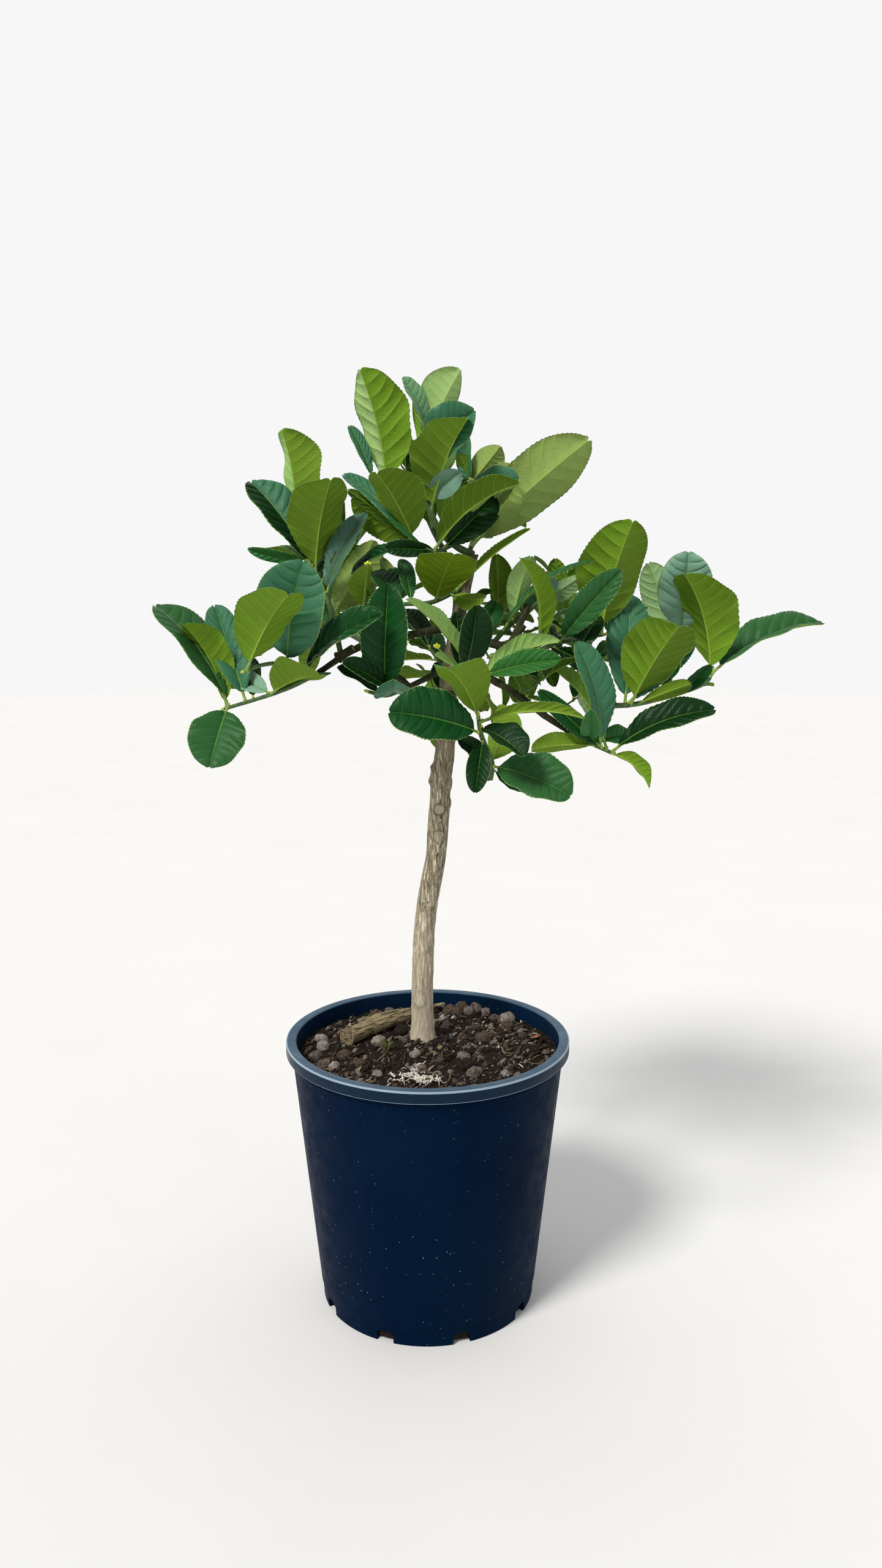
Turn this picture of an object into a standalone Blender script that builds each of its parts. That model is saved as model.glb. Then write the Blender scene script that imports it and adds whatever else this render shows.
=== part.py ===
"""A Buddha's hand tree in a round nursery pot.

Metres, +Z up. The origin is the centre of the pot's flat underside, which stands on the ground, and
the side of the tree that faces the viewer is at -Y. Lengths in the tables below are millimetres.

The tree grows by one rule. A trunk carries boughs, each one tapering limb. A mass of foliage is a
stem and its shoots, with leaves along them: first the marked leaves, which give the crown its own
outline, then more leaves set round the shoot by the spiral that citrus leaves follow.
"""

import math
import random
from collections import namedtuple

import bmesh
import bpy
from mathutils import Vector
from mathutils.bvhtree import BVHTree
from mathutils.geometry import intersect_point_line

MM = 0.001
GAP = 0.3
UP = Vector((0, 0, 1))
VIEWER = Vector((0, -1, 0))

# Pot
POT_HEIGHT = 286
RIM_RADIUS = 150
RIM_WIDTH = 11
LIP_HEIGHT = 13
LIP_OVERHANG = 6
LIP_ROUNDING = 1.5
STEP_BELOW_LIP = 8
STEP_DEPTH = 1.2
BASE_RADIUS = 114
BASE_LINE_HEIGHT = 18
BASE_LINE_STEP = 1.2
POT_WALL = 3
POT_STEPS = 54
NOTCHES = 9
NOTCH_WIDTH = 18.5
NOTCH_HEIGHT = 13
NOTCH_DEPTH = 12
NOTCH_BEARING = 18

# Soil: a low mound whose flat top lies under the trunk
SOIL_BELOW_RIM = 19
SOIL_TOP = 275.5
SOIL_FLAT_RADIUS = 24
SOIL_SHOULDER_RADIUS = 80
SOIL_SHOULDER = 271
SOIL_STEPS = 48

# Trunk: its centre line from the soil to the tip, and its thickness
TRUNK = (
    (-6, 20, SOIL_TOP + GAP), (-6, 20, 334), (-4, 18, 391), (0, 15, 430), (7, 12, 467), (10, 10, 494),
    (14, 5, 560), (17, 3, 581), (19, 0, 607), (22, 0, 663), (29, 0, 713), (39, 5, 760), (46, 10, 789),
)
TRUNK_RADIUS = 11.2
TRUNK_RADIUS_AT_CROWN = 9.8
TRUNK_TIP_RADIUS = 5
CROWN_BASE = 600
FLARE = 2.6
FLARE_HEIGHT = 14
TRUNK_SIDES = 14

# Boughs: centre line, then the radius where it leaves the trunk and at its end
Bough = namedtuple("Bough", "path thick thin")
BOUGHS = {
    "bough_left": Bough(((29, 0, 718), (-18, -25, 709), (-66, -30, 698), (-108, -20, 672)), 4, 3),
    "bough_left_low": Bough(((23, 0, 677), (-5, -20, 664), (-28, -40, 655)), 3, 2.6),
    "bough_right": Bough(((33, 0, 707), (87, -20, 695), (142, -25, 671), (188, -20, 639)), 4.6, 3.2),
    "bough_right_low": Bough(((26, 0, 685), (80, -30, 657), (119, -40, 629), (150, -45, 611)), 4, 3),
    "bough_front": Bough(((23, 0, 651), (29, -70, 627), (45, -120, 598), (59, -132, 581)), 3.6, 2.8),
    "bough_back_left": Bough(((20, 0, 630), (-25, 70, 655), (-70, 125, 690)), 4.4, 3.4),
    "bough_back_right": Bough(((22, 0, 655), (70, 60, 672), (118, 112, 692)), 4.4, 3.4),
    "bough_back_top": Bough(((31, 0, 728), (28, 48, 765), (15, 88, 800)), 4, 3.2),
}
BOUGH_SIDES = 8

# Foliage. A shoot is a centre line, its radius at foot and tip, how many spiral leaves it carries,
# and their length. A marked leaf is: how far along the shoot, its bearing (0 towards the viewer, 90
# to the right), its lift above the level, its length and width, how far its upper face is turned
# away from the viewer, how far each half folds up from the midrib, and, where it isn't the usual
# one, how high it arches as a share of its length.
Shoot = namedtuple("Shoot", "path thick thin spiral size marked")
MASSES = {
    "foliage_top": ("trunk", (
        Shoot(((46, 10, 789), (29, 2, 797), (11, 0, 815), (0, 2, 843), (-4, 5, 876), (3, 10, 905)),
              4, 2, 4, 60, (
            (1.00, 115, 63, 77, 58, 216, 35),
            (0.98, -60, 62, 63, 29, 48, 30),
            (0.84, -157, 67, 66, 17, 164, 30),
            (0.80, 64, 40, 72, 62, -20, 30),
            (0.45, 34, 53, 102, 79, 226, 40),
            (0.56, 67, 32, 43, 30, 12, 25),
        )),
        Shoot(((26, 2, 799), (7, -18, 791), (-14, -22, 802)), 2.6, 2, 1, 50, (
            (0.55, 70, 36, 106, 53, 238, 30, 0.11),
            (0.35, 116, 42, 79, 43, 6, 30),
            (1.00, -34, 45, 83, 68, 150, 40),
            (0.98, -124, 38, 109, 25, 34, 25),
            (0.45, -74, 2, 53, 20, 2, 25),
            (0.95, -115, -24, 77, 22, 54, 30),
            (0.90, -108, 36, 88, 16, 166, 25),
            (0.75, -68, 36, 46, 6, -2, 30),
            (0.92, -115, 32, 83, 50, 170, 25),
        )),
        Shoot(((-2, 2, 835), (-20, 8, 841), (-37, 18, 851), (-57, 38, 867)), 2.4, 1.8, 2, 55, (
            (0.65, -102, 77, 120, 78, 144, 30),
            (1.00, -128, 60, 63, 17, 28, 25),
        )),
        Shoot(((42, 9, 791), (47, 18, 808), (46, 25, 835), (44, 30, 863)), 2.8, 2, 2, 55, (
            (0.10, 78, 41, 153, 71, 200, 20),
            (0.20, 48, 42, 75, 44, 138, 25),
            (0.96, 46, 0, 62, 30, -28, 20),
            (1.00, 108, 50, 49, 39, 178, 30),
            (1.00, 90, 19, 46, 22, 188, 30),
            (0.98, -115, 67, 32, 20, 160, 20),
            (0.94, -171, 60, 62, 24, -36, 25),
        )),
    )),
    "foliage_upper_left": ("trunk", (
        Shoot(((39, 3, 759), (7, -15, 742), (-28, -20, 739), (-64, -22, 731)), 2.6, 1.8, 2, 55, (
            (0.35, 18, 37, 73, 66, 198, 12),
            (0.13, 77, 39, 95, 16, 238, 30, 0.04),
            (1.00, 12, 61, 50, 36, 226, 35),
            (0.65, -147, 32, 63, 43, 42, 25),
            (0.72, -164, 45, 67, 20, 156, 20),
            (0.56, -164, 48, 60, 19, 16, 20),
            (0.19, 39, -6, 52, 26, 148, 25),
        )),
    )),
    "foliage_left_up": ("bough_left", (
        Shoot(((-86, -28, 689), (-97, -20, 740), (-117, -5, 783), (-135, 10, 822)), 3, 2, 4, 60, (
            (0.98, -115, 82, 93, 81, 130, 25),
            (0.60, 26, 61, 97, 75, 218, 25),
            (0.63, -118, 50, 113, 53, 38, 25),
            (0.70, -73, 9, 61, 16, -24, 30),
            (0.42, 120, 61, 92, 35, -38, 30),
            (0.28, 155, 42, 115, 52, 170, 30),
        )),
    )),
    "foliage_left_tip": ("bough_left", (
        Shoot(((-108, -20, 672), (-136, -18, 658), (-165, -12, 647), (-207, 0, 634)), 2.8, 1.8, 4, 65, (
            (1.00, -63, 64, 93, 52, 154, 35, 0.12),
            (0.95, -106, 52, 128, 68, 60, 20, 0.10),
            (0.77, -145, 53, 119, 44, 20, 25),
            (0.98, -15, -50, 71, 64, 0, 12),
            (0.52, 50, 18, 76, 65, 232, 25),
            (0.69, -165, 38, 64, 26, 20, 20),
        )),
        Shoot(((-118, -20, 667), (-139, -35, 681), (-160, -45, 681), (-178, -45, 675)), 2.4, 1.8, 1, 60, (
            (0.39, 35, 71, 105, 85, -18, 15),
            (0.97, 34, 38, 117, 73, 216, 30),
            (0.10, 56, 31, 114, 43, -50, 30, 0.10),
        )),
    )),
    "foliage_left_low": ("bough_left_low", (
        Shoot(((-28, -40, 655), (-41, -44, 651), (-57, -48, 655)), 2.8, 1.8, 3, 60, (
            (0.47, 42, 87, 107, 56, -4, 30),
            (0.20, -54, 30, 65, 26, 46, 30),
            (0.15, 0, 24, 37, 47, 6, 25),
        )),
    )),
    "foliage_inner_front": ("trunk", (
        Shoot(((28, 0, 672), (34, -22, 674), (41, -36, 679)), 2.4, 1.8, 0, 50, (
            (1.00, -56, 43, 95, 31, 122, 30, 0.07),
            (0.82, 20, 63, 69, 41, 22, 25),
            (0.60, -54, 29, 36, 12, 148, 25),
            (0.50, -29, 84, 58, 22, 12, 20),
        )),
    )),
    "foliage_inner_right": ("trunk", (
        Shoot(((29, 0, 661), (43, -30, 666), (57, -44, 671)), 2.6, 1.8, 0, 50, (
            (0.90, 71, 24, 85, 33, 226, 40, 0.10),
            (1.00, 74, 13, 77, 31, -26, 30),
        )),
    )),
    "foliage_inner_back": ("trunk", (
        Shoot(((36, 5, 742), (54, 26, 728), (72, 38, 718)), 2.4, 1.8, 3, 60, (
            (1.00, 0, 78, 72, 34, 150, 30),
        )),
    )),
    "foliage_right_up": ("bough_right", (
        Shoot(((66, -13, 701), (83, -8, 719), (102, 0, 732), (113, 10, 742)), 2.8, 1.8, 2, 55, (
            (0.44, 27, 63, 71, 30, 202, 20),
            (0.20, 89, 38, 114, 14, 290, 30, 0.13),
            (0.60, 178, 39, 43, 30, 18, 30),
            (1.00, 156, 55, 39, 33, 26, 30),
            (0.97, 127, 25, 67, 25, 160, 25),
        )),
    )),
    "foliage_right_middle": ("bough_right", (
        Shoot(((104, -22, 690), (131, -12, 701), (178, 0, 709)), 2.8, 1.9, 3, 60, (
            (1.00, 52, 74, 115, 83, 202, 20),
            (0.12, -23, 57, 105, 38, 126, 40, 0.12),
            (0.41, 58, 47, 95, 37, -18, 30),
            (0.30, 102, -25, 66, 26, 0, 25),
        )),
    )),
    "foliage_right_tip": ("bough_right", (
        Shoot(((188, -20, 639), (210, -15, 640), (251, 0, 648), (286, 15, 659), (294, 20, 672)),
              2.9, 1.8, 5, 65, (
            (0.14, 25, 46, 109, 81, 188, 30),
            (0.09, 168, 64, 120, 50, -5, 8),
            (0.10, 118, 39, 105, 29, -4, 30),
            (0.94, -44, 63, 114, 81, 132, 25, 0.12),
            (1.00, 100, 23, 129, 58, 292, 30, 0.10),
            (0.60, 48, 40, 46, 17, -2, 30),
            (0.20, 46, 20, 65, 19, 180, 25),
        )),
        Shoot(((242, 0, 645), (257, 35, 677), (267, 50, 712)), 2.4, 1.8, 3, 60, (
            (1.00, -1, 70, 87, 65, -12, 25),
            (0.85, -135, 63, 92, 48, 170, 25),
        )),
    )),
    "foliage_right_low": ("bough_right_low", (
        Shoot(((150, -45, 611), (165, -50, 603), (182, -52, 595)), 2.8, 1.8, 3, 55, (
            (0.97, 80, 24, 106, 42, -52, 25, 0.13),
            (1.00, 57, -37, 51, 35, 242, 25, 0.13),
            (0.86, -95, 54, 108, 32, 116, 30, 0.12),
            (0.66, -66, 74, 106, 45, 38, 25, 0.10),
            (0.29, -3, 43, 50, 21, -12, 25),
            (0.75, -82, 41, 87, 23, 0, 30),
            (0.51, -65, 0, 71, 28, 160, 40),
        )),
    )),
    "foliage_front_low": ("bough_front", (
        Shoot(((59, -132, 581), (60, -138, 598), (50, -152, 624), (47, -160, 642)), 2.8, 1.9, 0, 50, (
            (0.74, -80, 14, 84, 59, 32, 25, 0.10),
            (1.00, -28, 39, 74, 59, 152, 35, 0.10),
            (0.91, 75, 4, 93, 22, 232, 30, 0.10),
            (0.22, 162, 60, 60, 48, 140, 35),
            (0.83, 44, -21, 57, 42, -56, 30),
            (0.20, 61, -15, 80, 56, -40, 25),
            (0.15, 105, -27, 43, 16, 20, 30),
            (0.64, -17, -62, 50, 26, 6, 30),
            (0.35, -72, 30, 35, 18, 14, 30),
        )),
    )),
    "foliage_left_back": ("bough_left", (
        Shoot(((-58, -29, 700), (-88, 20, 712), (-128, 62, 716), (-160, 88, 730)), 2.8, 1.9, 8, 90, ()),
    )),
    "foliage_right_back": ("bough_right", (
        Shoot(((140, -25, 672), (166, 30, 684), (190, 72, 692), (214, 100, 712)), 2.8, 1.9, 8, 90, ()),
    )),
    "foliage_back_left": ("bough_back_left", (
        Shoot(((-70, 125, 690), (-92, 160, 722), (-106, 178, 762), (-112, 180, 800)), 3.2, 2, 8, 95, ()),
        Shoot(((-84, 147, 706), (-66, 196, 712), (-50, 228, 730)), 2.4, 1.8, 5, 90, ()),
    )),
    "foliage_back_right": ("bough_back_right", (
        Shoot(((118, 112, 692), (138, 142, 708), (150, 166, 728), (158, 184, 752)), 3.2, 2, 8, 85, ()),
        Shoot(((132, 134, 703), (112, 186, 700), (92, 224, 708)), 2.4, 1.8, 5, 85, ()),
    )),
    "foliage_back_top": ("bough_back_top", (
        Shoot(((15, 88, 800), (2, 112, 826), (-8, 122, 860), (-4, 118, 892)), 3, 2, 8, 85, ()),
        Shoot(((6, 104, 815), (34, 132, 824), (60, 146, 842)), 2.4, 1.8, 5, 80, ()),
    )),
    "foliage_back": ("trunk", (
        Shoot(((21, 0, 640), (24, 44, 652), (18, 92, 662), (14, 140, 682)), 3, 2, 9, 90, ()),
    )),
}
SHOOT_SIDES = 5
SEED = 31

# The last place along a shoot where a leaf is rooted
SHOOT_END = 0.97

# The spiral rule for leaves: angles in degrees, and how far each one strays
SPIRAL_TURN = 144
SPIRAL_TURN_STRAYS = 15
SPIRAL_START = 0.22
LEAN_AT_FOOT = 62
LEAN_AT_TIP = 32
LEAN_STRAYS = 8
DROOP = 0.2
ROLL_STRAYS = 25
LENGTH_RANGE = (0.8, 1.15)
LENGTH_AT_FOOT = 1.1
LENGTH_LOST_TO_TIP = 0.3
SPIRAL_WIDTH = 0.46
BEHIND = 0.1
HANGING = -0.5
FOLD_RANGE = (15, 35)

# The leaf: half its width at each place along it, as a share of the widest
LEAF_OUTLINE = ((0.10, 0.07), (0.32, 0.82), (0.62, 1.0), (0.90, 0.72))
LEAF_ARCH = 0.07
LEAF_THICKNESS = 0.013
LEAF_LEAST_THICKNESS = 0.8
LEAF_CLEARANCE = 0.8
LEAF_FOOT = 2

# The crown's own space: an egg that no spiral leaf may leave
CROWN_CENTRE = Vector((40, 20, 735))
CROWN_HALF_SIZE = Vector((330, 245, 232))

Leaf = namedtuple("Leaf", "root heading face length width fold arch")


def clear_scene():
    for obj in list(bpy.data.objects):
        bpy.data.objects.remove(obj, do_unlink=True)


def material(name, colour, roughness):
    made = bpy.data.materials.new(name)
    made.use_nodes = True
    shader = made.node_tree.nodes["Principled BSDF"]
    shader.inputs["Base Color"].default_value = (*colour, 1)
    shader.inputs["Roughness"].default_value = roughness
    return made


def mesh_object(name, points, faces, collection=None):
    """A mesh object from points in millimetres."""
    mesh = bpy.data.meshes.new(name)
    mesh.from_pydata([Vector(p) * MM for p in points], [], faces)
    shell = bmesh.new()
    shell.from_mesh(mesh)
    bmesh.ops.recalc_face_normals(shell, faces=shell.faces)
    shell.to_mesh(mesh)
    shell.free()
    obj = bpy.data.objects.new(name, mesh)
    (collection or bpy.context.scene.collection).objects.link(obj)
    return obj


def smooth_path(points, steps=4):
    """Points on a smooth curve through the given ones."""
    given = [Vector(p) for p in points]
    curve = []
    for i in range(len(given) - 1):
        before = given[max(i - 1, 0)]
        start = given[i]
        end = given[i + 1]
        after = given[min(i + 2, len(given) - 1)]
        for k in range(steps):
            t = k / steps
            curve.append(0.5 * (
                2 * start
                + (end - before) * t
                + (2 * before - 5 * start + 4 * end - after) * t**2
                + (3 * start - before - 3 * end + after) * t**3
            ))
    curve.append(given[-1])
    return curve


def point_along(path, share):
    """The point and the direction at this share of the path's length."""
    lengths = [(b - a).length for a, b in zip(path, path[1:])]
    left = share * sum(lengths)
    for a, b, length in zip(path, path[1:], lengths):
        if left <= length or b is path[-1]:
            return a.lerp(b, left / length), (b - a).normalized()
        left -= length


def nearest_on(path, point):
    """The point of the path that lies nearest the given one."""
    found = []
    for a, b in zip(path, path[1:]):
        near, share = intersect_point_line(point, a, b)
        near = a.lerp(b, min(max(share, 0), 1))
        found.append(((near - point).length, tuple(near)))
    return Vector(min(found)[1])


def tube_shape(path, radii, sides):
    """Points and faces of a closed tube along the path, with flat ends."""
    points = []
    side = None
    for i, (centre, radius) in enumerate(zip(path, radii)):
        forward = (path[min(i + 1, len(path) - 1)] - path[max(i - 1, 0)]).normalized()
        if side is None:
            side = forward.orthogonal().normalized()
        side = (side - forward * side.dot(forward)).normalized()
        across = forward.cross(side)
        for k in range(sides):
            angle = 2 * math.pi * k / sides
            points.append(centre + radius * (side * math.cos(angle) + across * math.sin(angle)))
    faces = [tuple(range(sides))]
    for i in range(len(path) - 1):
        for k in range(sides):
            here = i * sides + k
            beside = i * sides + (k + 1) % sides
            faces.append((here, beside, beside + sides, here + sides))
    last = (len(path) - 1) * sides
    faces.append(tuple(range(last + sides - 1, last - 1, -1)))
    return points, faces


def turned(name, outline, steps):
    """A solid turned round the Z axis. Each outline point is a radius, a height, and the place of
    that ring's centre; the first and last lie on the centre."""
    points = []
    rings = []
    for radius, height, centre in outline:
        first = len(points)
        count = steps if radius else 1
        for k in range(count):
            angle = 2 * math.pi * k / steps
            points.append((
                centre[0] + radius * math.cos(angle),
                centre[1] + radius * math.sin(angle),
                height,
            ))
        rings.append([first + k % count for k in range(steps)])
    faces = []
    for low, high in zip(rings, rings[1:]):
        for k in range(steps):
            n = (k + 1) % steps
            corners = (low[k], low[n], high[n], high[k])
            faces.append(tuple(dict.fromkeys(corners)))
    return mesh_object(name, points, faces)


def shade(obj, angle=35):
    obj.data.shade_smooth()
    obj.data.set_sharp_from_angle(angle=math.radians(angle))


def apply_modifiers(obj):
    graph = bpy.context.evaluated_depsgraph_get()
    mesh = bpy.data.meshes.new_from_object(obj.evaluated_get(graph))
    obj.modifiers.clear()
    old = obj.data
    obj.data = mesh
    bpy.data.meshes.remove(old)


def cut(obj, cutter):
    """Takes the cutter's space out of the object."""
    cutter.hide_render = True
    cutter.display_type = "WIRE"
    boolean = obj.modifiers.new("clear of " + cutter.name, "BOOLEAN")
    boolean.operation = "DIFFERENCE"
    boolean.object = cutter


def remove(obj):
    bpy.data.objects.remove(obj, do_unlink=True)


def make_pot():
    """The turned wall with its rim and floor, and the drainage notches at the foot."""
    under_lip = POT_HEIGHT - LIP_HEIGHT
    wall_top = RIM_RADIUS - LIP_OVERHANG
    step = under_lip - STEP_BELOW_LIP
    outline = (
        (0, 0),
        (BASE_RADIUS, 0),
        (BASE_RADIUS + BASE_LINE_STEP, BASE_LINE_HEIGHT),
        (BASE_RADIUS + 2 * BASE_LINE_STEP, BASE_LINE_HEIGHT + BASE_LINE_STEP),
        (wall_top - STEP_DEPTH, step),
        (wall_top, step + STEP_DEPTH),
        (wall_top, under_lip),
        (RIM_RADIUS - LIP_ROUNDING, under_lip),
        (RIM_RADIUS, under_lip + LIP_ROUNDING),
        (RIM_RADIUS, POT_HEIGHT - LIP_ROUNDING),
        (RIM_RADIUS - LIP_ROUNDING, POT_HEIGHT),
        (RIM_RADIUS - RIM_WIDTH, POT_HEIGHT),
        (wall_top - STEP_DEPTH - POT_WALL, step),
        (BASE_RADIUS + BASE_LINE_STEP - POT_WALL, BASE_LINE_HEIGHT),
        (BASE_RADIUS - POT_WALL, POT_WALL),
        (0, POT_WALL),
    )
    pot = turned("pot", [(r, z, (0, 0)) for r, z in outline], POT_STEPS)
    for i in range(NOTCHES):
        bearing = math.radians(NOTCH_BEARING + 360 * i / NOTCHES - 90)
        cutter = make_notch("drainage notch %d" % i)
        cutter.location = Vector((math.cos(bearing), math.sin(bearing), 0)) * BASE_RADIUS * MM
        cutter.rotation_euler.z = bearing
        cut(pot, cutter)
    shade(pot)
    return pot


def make_notch(name):
    """A cutter with a rounded top, as deep as the wall and the floor's edge."""
    half = NOTCH_WIDTH / 2
    round_at = NOTCH_HEIGHT - half / 2
    arch = [
        (half * math.cos(math.radians(a)), round_at + half / 2 * math.sin(math.radians(a)))
        for a in range(0, 181, 30)
    ]
    outline = [(half, -POT_WALL), *arch, (-half, -POT_WALL)]
    points = [(x, y, z) for x in (-NOTCH_DEPTH, NOTCH_DEPTH) for y, z in outline]
    count = len(outline)
    faces = [tuple(range(count)), tuple(range(2 * count - 1, count - 1, -1))]
    for k in range(count):
        n = (k + 1) % count
        faces.append((k, n, n + count, k + count))
    return mesh_object(name, points, faces)


def pot_inside(height):
    """The pot's inner radius at this height."""
    low = (BASE_LINE_HEIGHT, BASE_RADIUS + BASE_LINE_STEP - POT_WALL)
    step = POT_HEIGHT - LIP_HEIGHT - STEP_BELOW_LIP
    high = (step, RIM_RADIUS - LIP_OVERHANG - STEP_DEPTH - POT_WALL)
    share = (height - low[0]) / (high[0] - low[0])
    return low[1] + share * (high[1] - low[1])


def make_soil():
    """The filling, which closes on the pot's wall, and its mound round the trunk's foot."""
    foot = (TRUNK[0][0], TRUNK[0][1])
    edge = POT_HEIGHT - SOIL_BELOW_RIM
    between = (foot[0] / 2, foot[1] / 2)
    floor_radius = BASE_RADIUS - POT_WALL - 2 * GAP
    outline = (
        (0, POT_WALL + GAP, (0, 0)),
        (floor_radius, POT_WALL + GAP, (0, 0)),
        (pot_inside(BASE_LINE_HEIGHT) - 2 * GAP, BASE_LINE_HEIGHT, (0, 0)),
        (pot_inside(edge) - 2 * GAP, edge, (0, 0)),
        (SOIL_SHOULDER_RADIUS, SOIL_SHOULDER, between),
        (SOIL_FLAT_RADIUS, SOIL_TOP, foot),
        (0, SOIL_TOP, foot),
    )
    soil = turned("soil", outline, SOIL_STEPS)
    shade(soil, 60)
    return soil


def trunk_radius(height):
    """Thick at the soil, with the root flare, and tapering faster inside the crown."""
    foot = TRUNK[0][2]
    tip = TRUNK[-1][2]
    flare = FLARE * math.exp(-(height - foot) / FLARE_HEIGHT)
    if height < CROWN_BASE:
        share = (height - foot) / (CROWN_BASE - foot)
        return flare + TRUNK_RADIUS + share * (TRUNK_RADIUS_AT_CROWN - TRUNK_RADIUS)
    share = (height - CROWN_BASE) / (tip - CROWN_BASE)
    return TRUNK_RADIUS_AT_CROWN + share * (TRUNK_TIP_RADIUS - TRUNK_RADIUS_AT_CROWN)


def limb_lines():
    """Each limb's name with its centre line, the radius at each point of it, and its sides."""
    path = smooth_path(TRUNK, 2)
    path.insert(1, path[0] + UP * FLARE_HEIGHT / 2)
    limbs = {"trunk": (path, [trunk_radius(p.z) for p in path], TRUNK_SIDES)}
    for name, bough in BOUGHS.items():
        path = smooth_path(bough.path, 3)
        last = len(path) - 1
        radii = [bough.thick + (bough.thin - bough.thick) * i / last for i in range(last + 1)]
        limbs[name] = (path, radii, BOUGH_SIDES)
    return limbs


def clearance_cutter(name, path, radii, sides):
    """The limb grown by the gap on every side and past its tip."""
    longer = list(path)
    longer[-1] = path[-1] + (path[-1] - path[-2]).normalized() * GAP
    points, faces = tube_shape(longer, [r + GAP for r in radii], sides)
    return mesh_object(name + " clearance", points, faces)


def make_limbs(limbs):
    """The trunk and the boughs. Each bough starts at the trunk's face, with the gap between."""
    cutter = clearance_cutter("trunk", *limbs["trunk"])
    made = {}
    for name, (path, radii, sides) in limbs.items():
        points, faces = tube_shape(path, radii, sides)
        limb = mesh_object(name, points, faces)
        if name != "trunk":
            cut(limb, cutter)
            apply_modifiers(limb)
        shade(limb)
        made[name] = limb
    remove(cutter)
    return made


def leaf_shape(leaf, clearance=0):
    """Points and faces of one leaf: a folded blade on a short stalk, arched along its length,
    thick at the midrib and sharp at its edges. With a clearance it is that much larger all round."""
    heading = leaf.heading
    side = heading.cross(leaf.face)
    thickness = max(leaf.length * LEAF_THICKNESS, LEAF_LEAST_THICKNESS) + 2 * clearance
    fold = math.radians(leaf.fold)
    points = [leaf.root]
    for share, width in LEAF_OUTLINE:
        arch = leaf.arch * 4 * share * (1 - share) * leaf.length
        middle = leaf.root + heading * share * leaf.length + leaf.face * (arch + clearance)
        half = width * leaf.width / 2 + clearance
        edge = leaf.face * (half * math.sin(fold) - thickness / 2)
        across = side * half * math.cos(fold)
        points += [middle, middle + across + edge, middle - leaf.face * thickness, middle - across + edge]
    points.append(leaf.root + heading * (leaf.length + clearance))
    last = len(points) - 1
    faces = [(0, 1 + (k + 1) % 4, 1 + k) for k in range(4)]
    for first in range(1, last - 4, 4):
        for k in range(4):
            n = (k + 1) % 4
            faces.append((first + k, first + n, first + n + 4))
            faces.append((first + k, first + n + 4, first + k + 4))
    faces += [(last - 4 + k, last - 4 + (k + 1) % 4, last) for k in range(4)]
    return points, faces


def square_to(vector, heading):
    """The part of the vector that stands square to the heading, as a unit vector."""
    return (vector - heading * vector.dot(heading)).normalized()


def turned_about(vector, axis, degrees):
    angle = math.radians(degrees)
    return vector * math.cos(angle) + axis.cross(vector) * math.sin(angle)


def marked_leaf(path, along, bearing, lift, length, width, turn, fold, arch=LEAF_ARCH):
    root = point_along(path, min(along, SHOOT_END))[0]
    level = math.cos(math.radians(lift))
    heading = Vector((
        level * math.sin(math.radians(bearing)),
        -level * math.cos(math.radians(bearing)),
        math.sin(math.radians(lift)),
    ))
    face = turned_about(square_to(VIEWER, heading), heading, turn)
    return Leaf(root, heading, face, length, width, fold, arch)


def spiral_leaf(path, number, count, size, start, rng):
    """One of the leaves that go round the shoot by the spiral, leaning less towards its tip."""
    along = SPIRAL_START + (SHOOT_END - SPIRAL_START) * (number + 0.5) / count
    root, axis = point_along(path, along)
    bearing = start + SPIRAL_TURN * number + rng.uniform(-SPIRAL_TURN_STRAYS, SPIRAL_TURN_STRAYS)
    out = turned_about(square_to(UP + VIEWER * 0.1, axis), axis, bearing)
    lean = LEAN_AT_FOOT + (LEAN_AT_TIP - LEAN_AT_FOOT) * along + rng.uniform(-LEAN_STRAYS, LEAN_STRAYS)
    heading = axis * math.cos(math.radians(lean)) + out * math.sin(math.radians(lean))
    heading = (heading - UP * rng.uniform(0, DROOP)).normalized()
    face = square_to(axis * 0.5 + UP, heading)
    face = turned_about(face, heading, rng.uniform(-ROLL_STRAYS, ROLL_STRAYS))
    length = size * rng.uniform(*LENGTH_RANGE) * (LENGTH_AT_FOOT - LENGTH_LOST_TO_TIP * along)
    return Leaf(root, heading, face, length, length * SPIRAL_WIDTH, rng.uniform(*FOLD_RANGE), LEAF_ARCH)


def inside_crown(leaf):
    tip = leaf.root + leaf.heading * leaf.length - CROWN_CENTRE
    return sum((tip[i] / CROWN_HALF_SIZE[i]) ** 2 for i in range(3)) < 1


class Space:
    """What stands where, so that a leaf can be refused where it would touch another node."""

    def __init__(self):
        self.taken = []

    def add(self, node, shape):
        points, faces = shape
        low = [min(p[i] for p in points) for i in range(3)]
        high = [max(p[i] for p in points) for i in range(3)]
        self.taken.append((node, low, high, BVHTree.FromPolygons(points, faces)))

    def touches(self, node, shape):
        """The other node that this shape would touch, if there is one."""
        points, faces = shape
        low = [min(p[i] for p in points) for i in range(3)]
        high = [max(p[i] for p in points) for i in range(3)]
        tree = None
        for other, other_low, other_high, other_tree in self.taken:
            apart = any(low[i] > other_high[i] or high[i] < other_low[i] for i in range(3))
            if other == node or apart:
                continue
            tree = tree or BVHTree.FromPolygons(points, faces)
            if tree.overlap(other_tree):
                return other
        return None


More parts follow.
